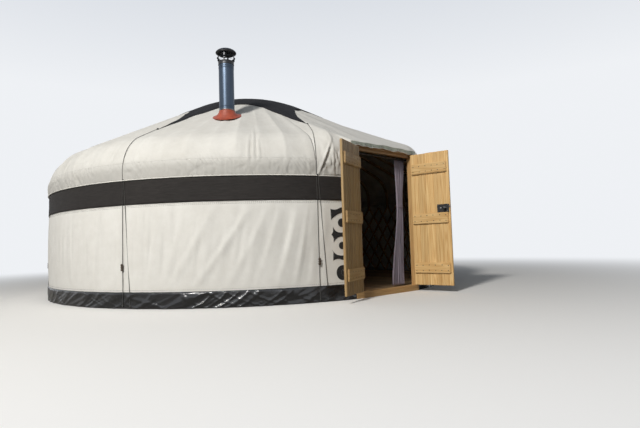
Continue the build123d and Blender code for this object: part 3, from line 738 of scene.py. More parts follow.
stage_crown, stage_slope, stage_bend, stage_wall = range(4)
round_roof = (slope_height, roof_pitch, eaves_bend)
ridge_roof = (ridge_height, ridge_pitch, ridge_bend)
front_plane = door_face + seat + cloth
fold_point = fold_radius, slope_height(fold_radius)
front_height = slope_height(front_plane)


def straight(start, stop, share):
    """Radius and height on the way from one (radius, height) to another."""
    return tuple(a + (b - a) * share for a, b in zip(start, stop))


def on_slope(line_height, start, stop, share):
    radius = start + (stop - start) * share
    return radius, line_height(radius)


def bend_centre(line_height, pitch, bend):
    """Radius and height of the middle of a bend at the eaves."""
    centre = roof_radius - bend
    return centre, line_height(centre) - bend / cos(pitch)


def bent_outline(line_height, pitch, bend, stage, share):
    """Radius and height on the crown, a slope, its bend or the wall below it."""
    centre, level = bend_centre(line_height, pitch, bend)
    if stage == stage_crown:
        return on_slope(slope_height, crown_radius - crown_width + cloth, fold_radius, share)
    if stage == stage_slope:
        return on_slope(line_height, fold_radius, centre + bend * sin(pitch), share)
    if stage == stage_bend:
        angle = (pi / 2 - pitch) * (1 - share)
        return centre + bend * np.cos(angle), level + bend * np.sin(angle)
    return straight((roof_radius, level), (roof_radius, gather_low), share)


def corner_outline(stage, share):
    """The same at the corner of the door head, where the slope runs straight to the front."""
    if stage == stage_crown:
        return bent_outline(*round_roof, stage, share)
    stops = (fold_point, (front_plane / cos(radians(bay_half)), front_height),
             (roof_radius, bend_centre(*ridge_roof)[1]), (roof_radius, gather_low))
    return straight(stops[stage - 1], stops[stage], share)


def outline(azimuth, stage, share):
    """Radius and height of the roof cloth at one azimuth."""
    turn = abs(swung(azimuth))
    on_round = bent_outline(*round_roof, stage, share)
    if turn >= bay_start:
        return on_round
    on_ridge = bent_outline(*ridge_roof, stage, share)
    if turn >= ridge_angle + ridge_flat:
        return straight(on_round, on_ridge, (bay_start - turn) / (bay_start - ridge_angle - ridge_flat))
    if turn >= ridge_angle - ridge_flat:
        return on_ridge
    inner_edge = ridge_angle - ridge_flat
    return straight(on_ridge, corner_outline(stage, share), (inner_edge - turn) / (inner_edge - bay_half))


def roof_grid(azimuths, spans):
    """Points of the roof over (stage, from, to, steps) spans."""
    columns = []
    for azimuth in azimuths:
        parts = []
        for number, (stage, start, stop, steps) in enumerate(spans):
            share = np.linspace(start, stop, steps + 1)[0 if number == 0 else 1:]
            radius, height = outline(azimuth, stage, share)
            parts.append(around(radius, np.full_like(share, azimuth), height))
        columns.append(np.concatenate(parts))
    return np.stack(columns, 1)


def sag(azimuth, radius):
    """How far the cloth sinks between the poles, with slow random swells along the slope."""
    between_poles = np.abs(np.sin(np.radians(azimuth) * pole_count / 2 + pi / 2)) ** 1.3
    in_half_bays = np.abs(np.sin(np.radians(azimuth) * pole_count)) ** 0.8
    spread = smooth(crown_radius + 0.1, crown_radius + 0.9, radius)
    share = np.radians(azimuth) / (2 * pi)
    swell = value_noise(share * 53, radius / 0.7, 53, 21)
    slow = value_noise(share * 90 + radius * 1.3, radius / 0.35, 90, 22)
    loose = 0.35 + 0.65 * beside_rope(azimuth, 0.10)
    sunk = between_poles * (0.0065 + 0.0040 * (1 + swell) + 0.0020 * slow)
    sunk = sunk + (0.0078 + 0.0024 * swell) * in_half_bays
    beside_bay = smooth(bay_half, bay_start, np.abs(swung(azimuth)))
    return -spread * loose * sunk * beside_bay + 0.0008


# Wrinkles that run down to the eaves: azimuth, lowest and highest level, lean in metres per metre, depth
crease_marks = [
    (-34.6, 1.60, 2.02, 0.05, 0.010), (-33.4, 1.60, 2.10, 0.02, 0.011), (-32.2, 1.62, 1.98, -0.03, 0.009),
    (-66.0, 1.62, 1.95, 0.10, 0.007), (-84.0, 1.62, 1.98, -0.12, 0.007), (-104.0, 1.60, 1.92, 0.10, 0.006),
    (-19.8, 1.44, 1.95, 0.48, 0.024), (-19.7, 1.44, 1.84, 1.10, 0.022), (-19.5, 1.44, 1.80, 1.75, 0.020),
    (-57.8, 1.45, 1.60, -0.50, 0.010), (-51.5, 1.45, 1.58, 0.40, 0.008), (-43.0, 1.45, 1.60, -0.45, 0.009),
    (24.0, 1.60, 1.95, 0.10, 0.008), (38.5, 1.62, 2.05, -0.06, 0.008), (61.0, 1.60, 1.95, 0.15, 0.007),
    (97.0, 1.62, 2.10, -0.10, 0.008), (128.0, 1.60, 1.95, 0.10, 0.006), (152.0, 1.62, 2.05, 0.05, 0.008),
    (-131.0, 1.60, 2.00, 0.10, 0.007), (-158.0, 1.60, 1.95, -0.10, 0.007),
]
crease_width = 0.014
dip_width, dip_away, dip_share = 0.016, 0.026, 0.6


def creases(azimuth, height):
    """Sharp wrinkles with a dip beside each, grouped as pulled cloth is."""
    depth = np.zeros_like(azimuth)
    for centre, low, high, lean, strength in crease_marks:
        turn = np.radians(swung(azimuth - centre)) * roof_radius - lean * (height - low)
        along = smooth(low - 0.05, low + 0.10, height) * (1 - smooth(high - 0.25, high, height))
        depth += strength * along * np.exp(-(turn / crease_width) ** 2)
        depth -= dip_share * strength * along * np.exp(-((turn - dip_away) / dip_width) ** 2)
    return depth


def lie_of(grid, azimuths):
    """Azimuth, plan radius and height of a roof grid, and its shares off the ropes and in the gathers."""
    turn = np.broadcast_to(np.array(azimuths), grid.shape[:2])
    height = grid[..., 2]
    free = 0.15 + 0.85 * beside_rope(turn, 0.05)
    low = 1 - smooth(gather_high - 0.05, gather_high + 0.10, height)
    return turn, np.hypot(grid[..., 0], grid[..., 1]), height, free, low


def draped_roof(grid, azimuths):
    """The roof grid with its sag, creases and, low down, its gathers."""
    turn, radius, height, free, low = lie_of(grid, azimuths)
    depth = sag(turn, radius) * (1 - low)
    depth += creases(turn, height) * free
    depth += gather(turn, height) * (low + 0.20 * smooth(1.95, 1.65, height) * (1 - low)) * free
    return grid + normals(grid) * depth[..., None]


# White roof in four segments, its gathered eaves, and the bay over the door


sides = ("right_front", "right_back", "left_back", "left_front")
flue_clear = 0.012
hem_rise, hem_away = 0.006, 0.007
roof_columns, eaves_columns = 250, 428
over_roof = 0.0006          # how far the eaves lie over the roof's edge
thread_away = 0.001


def bend_share(height):
    """How far down the round roof's bend a height lies."""
    return 1 - np.arcsin((height - bend_centre(*round_roof)[1]) / eaves_bend) / (pi / 2 - roof_pitch)


def outside_flue(point):
    spot = around(flue_distance, flue_azimuth, 0)
    return np.hypot(point[0] - spot[0], point[1] - spot[1]) > flue_radius + flue_clear


def off(grid, row, away):
    """One row of a grid, lifted off the cloth."""
    return grid[row] + normals(grid)[row] * away


roof_spans = [(stage_crown, 0, 1, 9), (stage_slope, 0, 1, 15),
              (stage_bend, 0, bend_share(gather_high - 0.012), 18)]
eaves_spans = [(stage_bend, bend_share(gather_high), 1, 7), (stage_wall, 0, 1, 6)]
roof_quarter = (360 - 2 * bay_start) / 4
for number, side in enumerate(sides):
    start = bay_start + number * roof_quarter
    azimuths = np.linspace(start, start + roof_quarter, roof_columns)
    grid = draped_roof(roof_grid(azimuths, roof_spans), azimuths)
    pleats = np.linspace(start, start + roof_quarter, eaves_columns)
    eaves = draped_roof(roof_grid(pleats, eaves_spans), pleats)
    eaves = eaves + normals(eaves) * over_roof
    keep = outside_flue if side == "left_front" else None
    roof = cloth_grid(f"roof_canvas_{side}", [grid], canvas_roof, canvas_thick, keep)
    edge = cloth_grid(f"eaves_canvas_{side}", [eaves], canvas_roof, trim_thick)
    hem_out = roof_radius + hem_away + 0.5 * gather(pleats, gather_low)
    edge_line = around(hem_out, pleats, gather_low + hem_rise)
    hem = grown(f"eaves_hem_{side}", [edge_line], hem_white, Radius=0.0060)
    thread = stitched(f"eaves_stitches_{side}", [off(eaves, -2, thread_away)], stitches_pale)
    for piece in (roof, edge):
        stands_for(piece, f"roof_cloth_{side}")
    declare(roof, [grid], "stretched", rests_on=["roof_poles_right", "crown_ring"])
    declare(edge, [eaves], "gathered", with_pieces=[hem, thread])

bay_columns = 95
drip_rows = np.linspace(0, 1, 9)[1:]
cheek_rows = [(stage_crown, 0, 1, 9), (stage_slope, 0, 1, 20), (stage_bend, 0, 1, 22), (stage_wall, 0, 1, 7)]


def bay_panel():
    """The flat bay, wavy along its front edge as loose canvas is, and the drip flap that hangs from it."""
    azimuths = np.linspace(-bay_half, bay_half, bay_columns)
    columns, flap = [], []
    for azimuth in azimuths:
        share = np.linspace(0, 1, 10)
        radius, height = outline(0, stage_crown, share)
        crown = around(radius, np.full_like(share, azimuth), height)
        share = np.linspace(0, 1, 25)[1:]
        front = front_plane / cos(radians(azimuth)), front_height
        radius, height = straight(fold_point, front, share)
        loose = 0.5 + 0.5 * sin(azimuth * 0.75 + 1.4) * cos(azimuth * 0.31)
        free = min(1, (bay_half - abs(azimuth)) / 2)
        height = height + 0.013 * loose * free * smooth(0.72, 1.0, share)
        slope = around(radius, np.full_like(share, azimuth), height)
        drop = flap_drop * (0.84 + 0.10 * sin(azimuth * 0.9) + 0.06 * sin(azimuth * 2.3 + 1))
        wave = 0.0045 + 0.0035 * sin(azimuth * 1.7 + 0.5) + 0.0025 * sin(azimuth * 4.1)
        fall = [slope[-1] + np.array((0, -0.0015 - wave * t, -drop * t)) for t in drip_rows]
        columns.append(np.concatenate([crown, slope, np.array(fall[:1])]))
        flap.append(np.array(fall))
    grid = np.stack(columns, 1)
    turn = np.broadcast_to(azimuths, grid.shape[:2])
    radius = np.hypot(grid[..., 0], grid[..., 1])
    free = smooth(0, 3, bay_half - np.abs(turn)) * (1 - smooth(2.80, 3.0, radius))
    swell = value_noise(turn / 4 + 40, radius / 0.35, 90, 31)
    inward = np.abs(np.cos(np.radians(turn) * pole_count / 2)) * (0.0085 + 0.004 * (1 + swell))
    return grid - np.stack([0 * turn, 0 * turn, inward * free], -1), np.stack(flap, 1)


def cheek(sign):
    """The fold beside the door, from the flat bay to the round eaves."""
    stops = (bay_half, ridge_angle - ridge_flat, ridge_angle + ridge_flat, bay_start)
    spans = [np.linspace(low, high, count)[min(i, 1):]
             for i, (low, high, count) in enumerate(zip(stops, stops[1:], (26, 7, 24)))]
    azimuths = sign * np.concatenate(spans)[::sign]
    grid = roof_grid(azimuths, cheek_rows)
    turn, radius, height, free, low = lie_of(grid, azimuths)
    from_bay = smooth(0, 1.2, np.abs(turn) - bay_half)
    depth = sag(turn, radius) * (1 - low)
    depth += 0.6 * gather(turn, height) * (low + 0.3 * smooth(2.0, 1.65, height) * (1 - low)) * free
    depth += creases(turn, height) * (0.3 + 0.7 * beside_rope(turn, 0.02))
    depth += 0.008 * np.exp(-((np.abs(turn) - ridge_angle) / 0.30) ** 2) * smooth(2.15, 1.95, height)
    depth += 0.007 * value_noise(turn * 0.9 + 50, height / 0.09, 120, 33) * smooth(1.95, 1.75, height) * free
    return grid + normals(grid) * (depth * from_bay)[..., None]


bay_top, bay_flap = bay_panel()
bay_grids = [bay_top, cheek(-1), cheek(1)]
bay = cloth_grid("door_bay_canvas", bay_grids, canvas_roof, canvas_thick)
stands_for(bay, "roof_cloth_door_bay")
flap = cloth_grid("door_bay_flap", [bay_flap], canvas_flap, vinyl_thick)
flap_out = np.array((0, -1.0, 0))
flap_hem = grown("door_flap_hem", [bay_flap[-1] + flap_out * 0.0005], hem_white, Radius=0.0026)
flap_rows = [bay_flap[row] + flap_out * 0.0008 for row in (-2, 0)]
flap_thread = stitched("door_flap_stitches", flap_rows, stitches_pale, 0.016, 0.010)
eyelet_spots = [bay_flap[4, i] + flap_out * 0.0006 for i in range(6, bay_columns, 12)]
eyelets = studded("door_flap_eyelets", eyelet_spots, flap_out, studs_steel, 0.0085, 0.0022)
declare(flap, [bay_flap], "hung", with_pieces=[flap_hem, flap_thread, eyelets])
hem_up = np.array((0, 0, 0.004))
bay_hems = [grown(f"door_bay_hem_{k}", [off(grid, -1, thread_away) + hem_up], hem_white, Radius=0.0042)
            for k, grid in enumerate(bay_grids[1:])]
declare(bay, bay_grids, "stretched", rests_on=["roof_poles_left", "roof_poles_right", "door_poles"],
        with_pieces=bay_hems)


# White wall, dark band and dark skirt


wall_edge = np.degrees(np.arcsin((jamb_outside + seat) / wall_radius))
scroll_outer = 17.2         # azimuth at which the scrollwork ends
wall_noise, trim_noise = random_round(wall_radius), random_round(trim_radius)

# Single long folds of the wall: azimuth at a level, that level, lean in metres per metre, depth, width
wall_marks = [
    (-35.6, 0.97, 0.64, 0.017, 0.050), (-32.0, 0.90, 0.50, 0.010, 0.045), (-43.0, 0.94, 0.53, 0.012, 0.050),
    (-48.5, 0.90, 0.30, 0.008, 0.045), (-25.3, 0.92, 0.24, 0.011, 0.045), (-28.6, 0.96, 0.30, 0.008, 0.040),
    (-22.6, 0.92, 0.16, 0.010, 0.035), (-53.6, 0.90, 0.17, 0.009, 0.045), (-57.5, 0.90, 0.10, 0.007, 0.040),
    (-70.0, 0.90, 0.05, 0.006, 0.040), (-79.5, 0.80, -0.06, 0.006, 0.040), (-96.0, 0.90, 0.08, 0.008, 0.050),
    (-118.0, 0.90, -0.20, 0.010, 0.050), (-139.0, 0.90, 0.25, 0.009, 0.050),
    (-162.0, 0.90, -0.15, 0.010, 0.050), (26.0, 0.92, -0.22, 0.011, 0.045), (34.0, 0.95, -0.45, 0.013, 0.050),
    (49.0, 0.90, -0.30, 0.009, 0.050), (66.0, 0.90, 0.15, 0.009, 0.045), (88.0, 0.90, -0.20, 0.010, 0.050),
    (112.0, 0.90, 0.30, 0.010, 0.050), (133.0, 0.90, -0.10, 0.008, 0.045), (158.0, 0.90, 0.20, 0.010, 0.050),
]
mark_share, mark_bow = 0.95, 0.18
wall_heights = np.concatenate([[wall_high - seat, band_low + 0.02], np.linspace(band_low, skirt_high, 29),
                               [skirt_high - 0.02, wall_low]])
band_heights = np.linspace(band_high - seat, band_low, 14)
skirt_heights = np.linspace(skirt_high, 0.0, 18)


def panel_azimuths(number, count, pitch):
    """Azimuths across one of the panels that run round from jamb to jamb."""
    share = (360 - 2 * bay_half) / count
    start = wall_edge if number == 0 else bay_half + number * share
    stop = 360 - wall_edge if number == count - 1 else bay_half + (number + 1) * share
    return np.linspace(start, stop, round(radians(stop - start) * wall_radius / pitch) + 1)


def pulled_folds(centred, height):
    """The single long folds, with one steep side each."""
    depth = np.zeros_like(centred)
    for centre, level, lean, strength, width in wall_marks:
        bow = lean * (height - level) - mark_bow * lean * (height - level) ** 2
        turn = np.radians(centred - centre) * wall_radius - bow
        ridge = np.exp(-(turn / width) ** 2) * np.where(turn > 0, np.exp(-turn / (width * 0.8)), 1)
        depth += mark_share * strength * ridge * smooth(1.22, 1.02, height)
    return depth


def wall_folds(azimuth, height):
    """Soft folds that hang from the band; they lean left below it in front and stand straight elsewhere."""
    centred = swung(azimuth)
    lean = 0.20 * smooth(-66, -40, centred) * smooth(60, 20, centred)
    drop = band_low - height
    run = np.radians(centred) * wall_radius + lean * drop
    share = np.clip((height - skirt_high) / (band_low - skirt_high), 0, 1)
    envelope = np.sin(pi * share) ** 0.7 * (height > skirt_high) * (height < band_low)
    broad = wall_noise(run, 0.30, drop, 1.6, 41)
    middle = wall_noise(run + 0.0315 * drop, 0.105, drop, 0.9, 42)
    small = wall_noise(run, 0.045, drop, 0.5, 43)
    pleats = wall_noise(run, 0.032, drop, 0.5, 44)
    sharp = 0.45 + 0.75 * smooth(60, 22, np.abs(centred))
    fold = 0.0070 * (1 + broad) + 0.0046 * np.abs(middle) ** 0.8 * (1 + np.sign(middle)) * sharp
    near_band = 0.25 + 0.75 * np.exp(-np.maximum(drop, 0) / 0.16)
    fold += 0.0030 * (1 + small) + 0.0034 * (1 + pleats) * near_band
    fold += pulled_folds(centred, height)
    flat_by_door = smooth(scroll_outer - 0.2, scroll_outer + 2.0, np.abs(centred))
    return fold * envelope * flat_by_door * (0.22 + 0.78 * beside_rope(azimuth, 0.07))


def band_ripples(azimuth, height):
    """Tight level wrinkles, and edges that lift a little."""
    run = np.radians(azimuth) * trim_radius
    level = trim_noise(run, 0.35, height / 0.030 + 0.4 * np.sin(run * 2.1), 1, 51)
    slack = trim_noise(run, 0.16, height, 0.10, 52)
    edge = smooth(band_low + 0.03, band_low, height)
    lift = 0.0016 * (1 + level) + 0.0012 * (1 + slack) + 0.0015 * edge * (1 + slack)
    return lift * beside_rope(azimuth, 0.04) - 0.0002


def skirt_wrinkles(azimuth, height):
    """Curved slanting wrinkles of stiff coated cloth that stands on the ground."""
    run = np.radians(azimuth) * trim_radius
    drop = skirt_high - height
    bow = 0.55 * drop + 4.5 * drop ** 2
    slant = valley(trim_noise(run + bow, 0.120, height, 0.40, 61), 0.42)
    counter = valley(trim_noise(run - 1.5 * bow, 0.200, height, 0.30, 62), 0.30)
    fine = valley(trim_noise(run + 1.8 * bow, 0.075, height, 0.25, 63), 0.40)
    broad = trim_noise(run + bow, 0.30, height, 0.30, 64)
    lift = 0.0095 * slant + 0.0060 * counter + 0.0045 * fine + 0.0040 * (1 + broad)
    hem = smooth(skirt_high, skirt_high - 0.02, height)
    return lift * (0.25 + 0.75 * hem) * (0.2 + 0.8 * beside_rope(azimuth, 0.05))


def round_panel(name, azimuths, radius, heights, depth, material, thickness):
    """A round wall of cloth that stands off its radius by a depth, with the grid that it is made from."""
    turn, height = np.meshgrid(azimuths, heights)
    grid = around(radius + depth(turn, height), turn, height)
    return cloth_grid(name, [grid], material, thickness), grid


def panel_rows(azimuths, radius, depth, away, rows):
    """Level lines on such a wall, a little off the cloth."""
    return [around(radius + depth(azimuths, np.full_like(azimuths, z)) + away, azimuths, z) for z in rows]


wall_pitch, skirt_pitch, band_pitch = 0.020, 0.011, 0.024      # metres between columns of a grid
wall_row_away, trim_row_away = 0.0008, 0.0006
wall_rows = (band_low - 0.016, band_low - 0.030, skirt_high + 0.020)
skirt_rows = (skirt_high - 0.010,)
band_rows = (band_low + 0.012, band_high - 0.016)
for number, side in enumerate(sides):
    azimuths = panel_azimuths(number, len(sides), wall_pitch)
    wall, grid = round_panel(f"wall_canvas_{side}", azimuths, wall_radius, wall_heights, wall_folds,
                             canvas_white, canvas_thick)
    rows = panel_rows(azimuths, wall_radius, wall_folds, wall_row_away, wall_rows)
    thread = stitched(f"wall_stitches_{side}", rows, stitches_dark, length=0.014, radius=0.0010)
    stands_for(wall, f"wall_cloth_{side}")
    declare(wall, [grid], "hung", rests_on=[f"lattice_{number + 1}"], with_pieces=[thread])
    azimuths = panel_azimuths(number, len(sides), skirt_pitch)
    skirt, grid = round_panel(f"skirt_{side}_vinyl", azimuths, trim_radius, skirt_heights, skirt_wrinkles,
                              vinyl_skirt, vinyl_thick)
    rows = panel_rows(azimuths, trim_radius, skirt_wrinkles, trim_row_away, skirt_rows)
    thread = stitched(f"skirt_stitches_{side}", rows, stitches_dark, radius=0.0010)
    stands_for(skirt, f"skirt_{side}")
    declare(skirt, [grid], "hung", with_pieces=[thread])

for number, side in enumerate(("right", "left")):
    azimuths = panel_azimuths(number, 2, band_pitch)
    band, grid = round_panel(f"band_{side}_canvas", azimuths, trim_radius, band_heights, band_ripples,
                             canvas_band, trim_thick)
    rows = panel_rows(azimuths, trim_radius, band_ripples, trim_row_away, band_rows)
    thread = stitched(f"band_stitches_{side}", rows, stitches_dark)
    stands_for(band, f"band_{side}")
    declare(band, [grid], "stretched", with_pieces=[thread])


# Cap over the crown, with its eight arms


dome_radius = (crown_radius - crown_width) / sin(roof_pitch)
dome_middle = slope_height(crown_radius - crown_width) - dome_radius * cos(roof_pitch)
arm_half = pi / star_arms
trough_round = 12           # the higher, the sharper the corner between trough and arm
cap_lift = 0.0035
spike_radii = np.linspace(0.9, spike_reach, 120)
spike_halves = spike_spread * (spike_reach - spike_radii) ** 1.5
spike_turns = np.arcsin(np.clip(spike_halves / spike_radii, 0, 1))


def star_reach(azimuth):
    """Plan radius of the cap's outline: long pointed arms with hollow sides between round troughs."""
    arm = np.abs((np.radians(azimuth - star_turn) + arm_half) % (2 * arm_half) - arm_half)
    spike = np.interp(arm, spike_turns[::-1], spike_radii[::-1])
    both = (star_trough ** trough_round + spike ** trough_round) ** (1 / trough_round)
    return np.where(arm < 0.0001, spike_reach, both)


def cap_height(radius):
    inner = dome_middle + np.sqrt(np.maximum(dome_radius ** 2 - np.minimum(radius, crown_radius) ** 2, 0))
    return np.where(radius < crown_radius - crown_width, inner, slope_height(radius))


def over_ridge(radius, azimuth):
    """How much higher the cloth runs where the bay's side folds begin."""
    stops = (bay_half, ridge_angle - ridge_flat, ridge_angle + ridge_flat, bay_start)
    share = np.interp(np.abs(swung(azimuth)), stops, (0, 1, 1, 0))
    return share * np.maximum(radius - fold_radius, 0) * (tan(roof_pitch) - tan(ridge_pitch))


def draped_cap():
    """The cap's grid, with more columns towards the arms' tips, and its outward directions."""
    arm_steps = np.linspace(-1, 1, 57)
    arm_turns = np.degrees(arm_half) * np.sign(arm_steps) * np.abs(arm_steps) ** 2.4
    last = [star_turn + 360 - np.degrees(arm_half)]
    azimuths = [star_turn + k * 360 / star_arms + arm_turns[:-1] for k in range(star_arms)] + [last]
    shares = [np.linspace(0, 0.9, 34), np.linspace(0.9, 1.0, 8)[1:]]
    turn, share = np.meshgrid(np.concatenate(azimuths), np.concatenate(shares))
    reach = np.minimum(star_reach(turn), spike_reach - 0.002)
    radius = np.maximum(share * reach, 0.002)
    angle = np.radians(turn)
    outwards = np.stack([np.sin(angle) * sin(roof_pitch), -np.cos(angle) * sin(roof_pitch),
                         0 * turn + cos(roof_pitch)], -1)
    hem = smooth(0.035, 0.028, (1 - share) * reach)
    pull = value_noise(angle / (2 * pi) * 120, radius / 0.6, 120, 71) * smooth(0.3, 1.1, radius)
    drape = value_noise(angle / (2 * pi) * 44, radius / 0.4, 44, 72)
    lift = cap_lift + 0.0012 * hem + (0.0018 * pull * (1 - hem) + 0.0012 * drape) * smooth(1.9, 1.3, radius)
    lift += cloth * 0.5 * smooth(crown_radius + 0.4, crown_radius, radius) + sag(turn, radius)
    grid = around(radius, turn, cap_height(radius) + over_ridge(radius, turn))
    return grid + outwards * lift[..., None], outwards


cap_grid, outwards = draped_cap()
cap = cloth_grid("star_cap_canvas", [cap_grid], canvas_cap, trim_thick)
stands_for(cap, "star_cap")
cap_thread = stitched("cap_stitches", [cap_grid[-3] + outwards[-3] * 0.0012], stitches_dark)


# Ropes from the cap's arms down to the foot of the wall


rope_stand = stay_radius * 0.95
rope_wall = roof_radius + rope_stand
foot_level = rope_foot + 0.012
round_azimuth = 120.0       # an azimuth at which the roof is round


def rope_rows(azimuth, start):
    """Points and outward directions along a rope, from a plan radius over the cloth to the wall."""
    lean = rope_on_wall(azimuth) - azimuth
    shares = [(stage_slope, share) for share in np.linspace(0, 1, 40)]
    shares += [(stage_bend, share) for share in np.linspace(0, 1, 24)[1:]] + [(stage_wall, 1.0)]
    points = []
    for stage, share in shares:
        plan = float(outline(round_azimuth, stage, np.array(share))[0])
        if stage == stage_slope and plan < start:
            continue
        at = azimuth + lean * min(1, max(0, (plan - start) / (roof_radius - start)))
        radius, height = outline(at, stage, np.array(share))
        points.append((float(radius), at, float(height)))
    profile = np.array(points)
    slope = np.gradient(profile[:, [0, 2]], axis=0)
    facing = np.stack([-slope[:, 1], slope[:, 0]], -1)
    facing /= np.linalg.norm(facing, axis=1, keepdims=True)
    flat = np.radians(profile[:, 1])
    outward = np.stack([np.sin(flat) * facing[:, 0], -np.cos(flat) * facing[:, 0], facing[:, 1]], -1)
    return around(*profile.T) + outward * rope_stand, outward


def knot(centre, across, up, outward, size):
    """A small overhand knot."""
    t = np.linspace(0, 2 * pi, 26)
    x = (np.sin(t) + 2 * np.sin(2 * t)) * size / 3
    y = (np.cos(t) - 2 * np.cos(2 * t)) * size / 3
    z = 0.30 * size * (1 - np.sin(3 * t))
    return centre + x[:, None] * across + y[:, None] * up + z[:, None] * outward


rope_lines, knot_lines = [], []
for azimuth in rope_azimuths:
    points, outward = rope_rows(azimuth, spike_reach - 0.05)
    foot_azimuth, away = rope_on_wall(azimuth), rope_away(azimuth)
    heights = np.linspace(gather_low - 0.01, foot_level, 16)
    down = around(rope_wall, np.full_like(heights, foot_azimuth), heights)
    rope_lines.append(np.concatenate([points, down]))
    heights = np.linspace(rope_split, foot_level, 18)
    gap = rope_apart + (rope_spread - rope_apart) * (rope_split - heights) / (rope_split - rope_foot)
    rope_lines.append(around(rope_wall + 0.0005, foot_azimuth - away * gap, heights))
    across, out = across_and_out(foot_azimuth)
    for shift, height in ((0, foot_level), (rope_spread, foot_level), (rope_apart * 0.5, rope_split)):
        centre = around(rope_wall, foot_azimuth - away * shift, height)
        knot_lines.append(knot(centre, across, np.array((0, 0, 1.0)), out, 0.010))
    slope = points[1] - points[0]
    knot_lines.append(knot(points[0], across, slope / np.linalg.norm(slope), outward[0], 0.011))
ropes = grown("laid_ropes", rope_lines, laid_rope)
grown("rope_knots", knot_lines, laid_rope, Radius=0.0036, Step=0.006)
stands_for(ropes, "guy_ropes")
cap_area = sheet_size([cap_grid])[2]


# Black felt scrollwork on the wall beside the door, cut as horned and round pieces


felt_lift = 0.0030
felt_bend_step = 0.03
scroll_reach = 0.36


def arc_outline(corners, step=0.012):
    """A closed outline through corners; each corner also gives the bow of the side that follows it."""
    points = []
    for (x0, z0, bow), (x1, z1, _) in zip(corners, corners[1:] + corners[:1]):
        dx, dz = x1 - x0, z1 - z0
        long = sqrt(dx * dx + dz * dz)
        count = max(2, round(long / step))
        for i in range(count):
            t = i / count
            lift = 4 * bow * t * (1 - t)
            points.append((x0 + dx * t - dz / long * lift, z0 + dz * t + dx / long * lift))
    return points


def round_outline(x, z, rx, rz, start=0.0, stop=360.0, inner=0.0):
    """An oval, or a crescent between two ovals."""
    turns = np.radians(np.linspace(start, stop, 40))
    outer = [(x + rx * cos(t), z + rz * sin(t)) for t in turns]
    if inner:
        return outer + [(x + rx * inner * cos(t) - 0.15 * rx, z + rz * inner * sin(t)) for t in turns[::-1]]
    return outer[:-1]


def beside_door(mirrored, x, z, lift):
    """A point on the wall at x metres from the door frame."""
    return around(wall_radius + lift, mirrored * (wall_edge + np.degrees(x / wall_radius)), z)


def felt_piece(name, outlines, mirrored):
    """Flat outlines laid round the wall; x runs away from the door frame."""
    work = bmesh.new()
    for points in outlines:
        work.faces.new([work.verts.new((x, 0, z)) for x, z in points])
    bmesh.ops.triangulate(work, faces=work.faces[:])
    for cut in np.arange(felt_bend_step, scroll_reach, felt_bend_step):
        geometry = work.verts[:] + work.edges[:] + work.faces[:]
        bmesh.ops.bisect_plane(work, geom=geometry, plane_co=(cut, 0, 0), plane_no=(1, 0, 0))
    layer = work.loops.layers.uv.new("cloth")
    for face in work.faces:
        for loop in face.loops:
            loop[layer].uv = (loop.vert.co.x, loop.vert.co.z)
    for vert in work.verts:
        vert.co = Vector(beside_door(mirrored, vert.co.x, vert.co.z, felt_lift))
    for face in work.faces:
        face.normal_update()
        centre = face.calc_center_median()
        if face.normal.dot(Vector((centre.x, centre.y, 0))) < 0:
            face.normal_flip()
    return thickened(new_object(name, drawn(work, name), felt_black), felt_thick)


# The outlines, in metres from the door frame and above the ground: horned pieces, round cores and a crescent
scroll_outlines = [
    arc_outline([(0.06, 1.088, -0.004), (0.178, 1.066, -0.016), (0.305, 1.051, -0.006),
                 (0.301, 0.923, -0.030), (0.06, 1.012, 0.0)]),
    arc_outline([(0.06, 0.790, 0.0), (0.173, 0.776, -0.022), (0.280, 0.843, -0.012), (0.303, 0.754, -0.012),
                 (0.275, 0.667, -0.015), (0.174, 0.730, 0.0), (0.06, 0.735, 0.0)]),
    arc_outline([(0.06, 0.520, 0.0), (0.179, 0.510, -0.019), (0.302, 0.583, -0.016), (0.290, 0.458, -0.014),
                 (0.180, 0.464, 0.0), (0.06, 0.450, 0.0)]),
    round_outline(0.164, 0.890, 0.050, 0.050),
    round_outline(0.166, 0.627, 0.045, 0.043),
    round_outline(0.172, 0.316, 0.080, 0.085, -140, 140, 0.40),
]
for mirrored, name in ((-1, "left"), (1, "right")):
    felt = felt_piece(f"scroll_felt_{name}", scroll_outlines, mirrored)
    stands_for(felt, "scroll_panels")
    edges = [[beside_door(mirrored, x, z, felt_lift + 0.0002) for x, z in shape + shape[:1]]
             for shape in scroll_outlines]
    stitched(f"scroll_thread_{name}", edges, stitches_pale, 0.016, 0.008, 0.0008)


# Boards, and what is nailed to them


grain_order = {0: (0, 1, 2), 1: (1, 0, 2), 2: (2, 0, 1)}


def grain_layers(work):
    """The layers that the timber materials read."""
    return work.verts.layers.float_vector.new("grain"), work.verts.layers.float.new("tone")


def boarded(work, name, material, body="frame"):
    """The object of finished boards."""
    bmesh.ops.recalc_face_normals(work, faces=work.faces[:])
    return new_object(name, drawn(work, name), material, body)


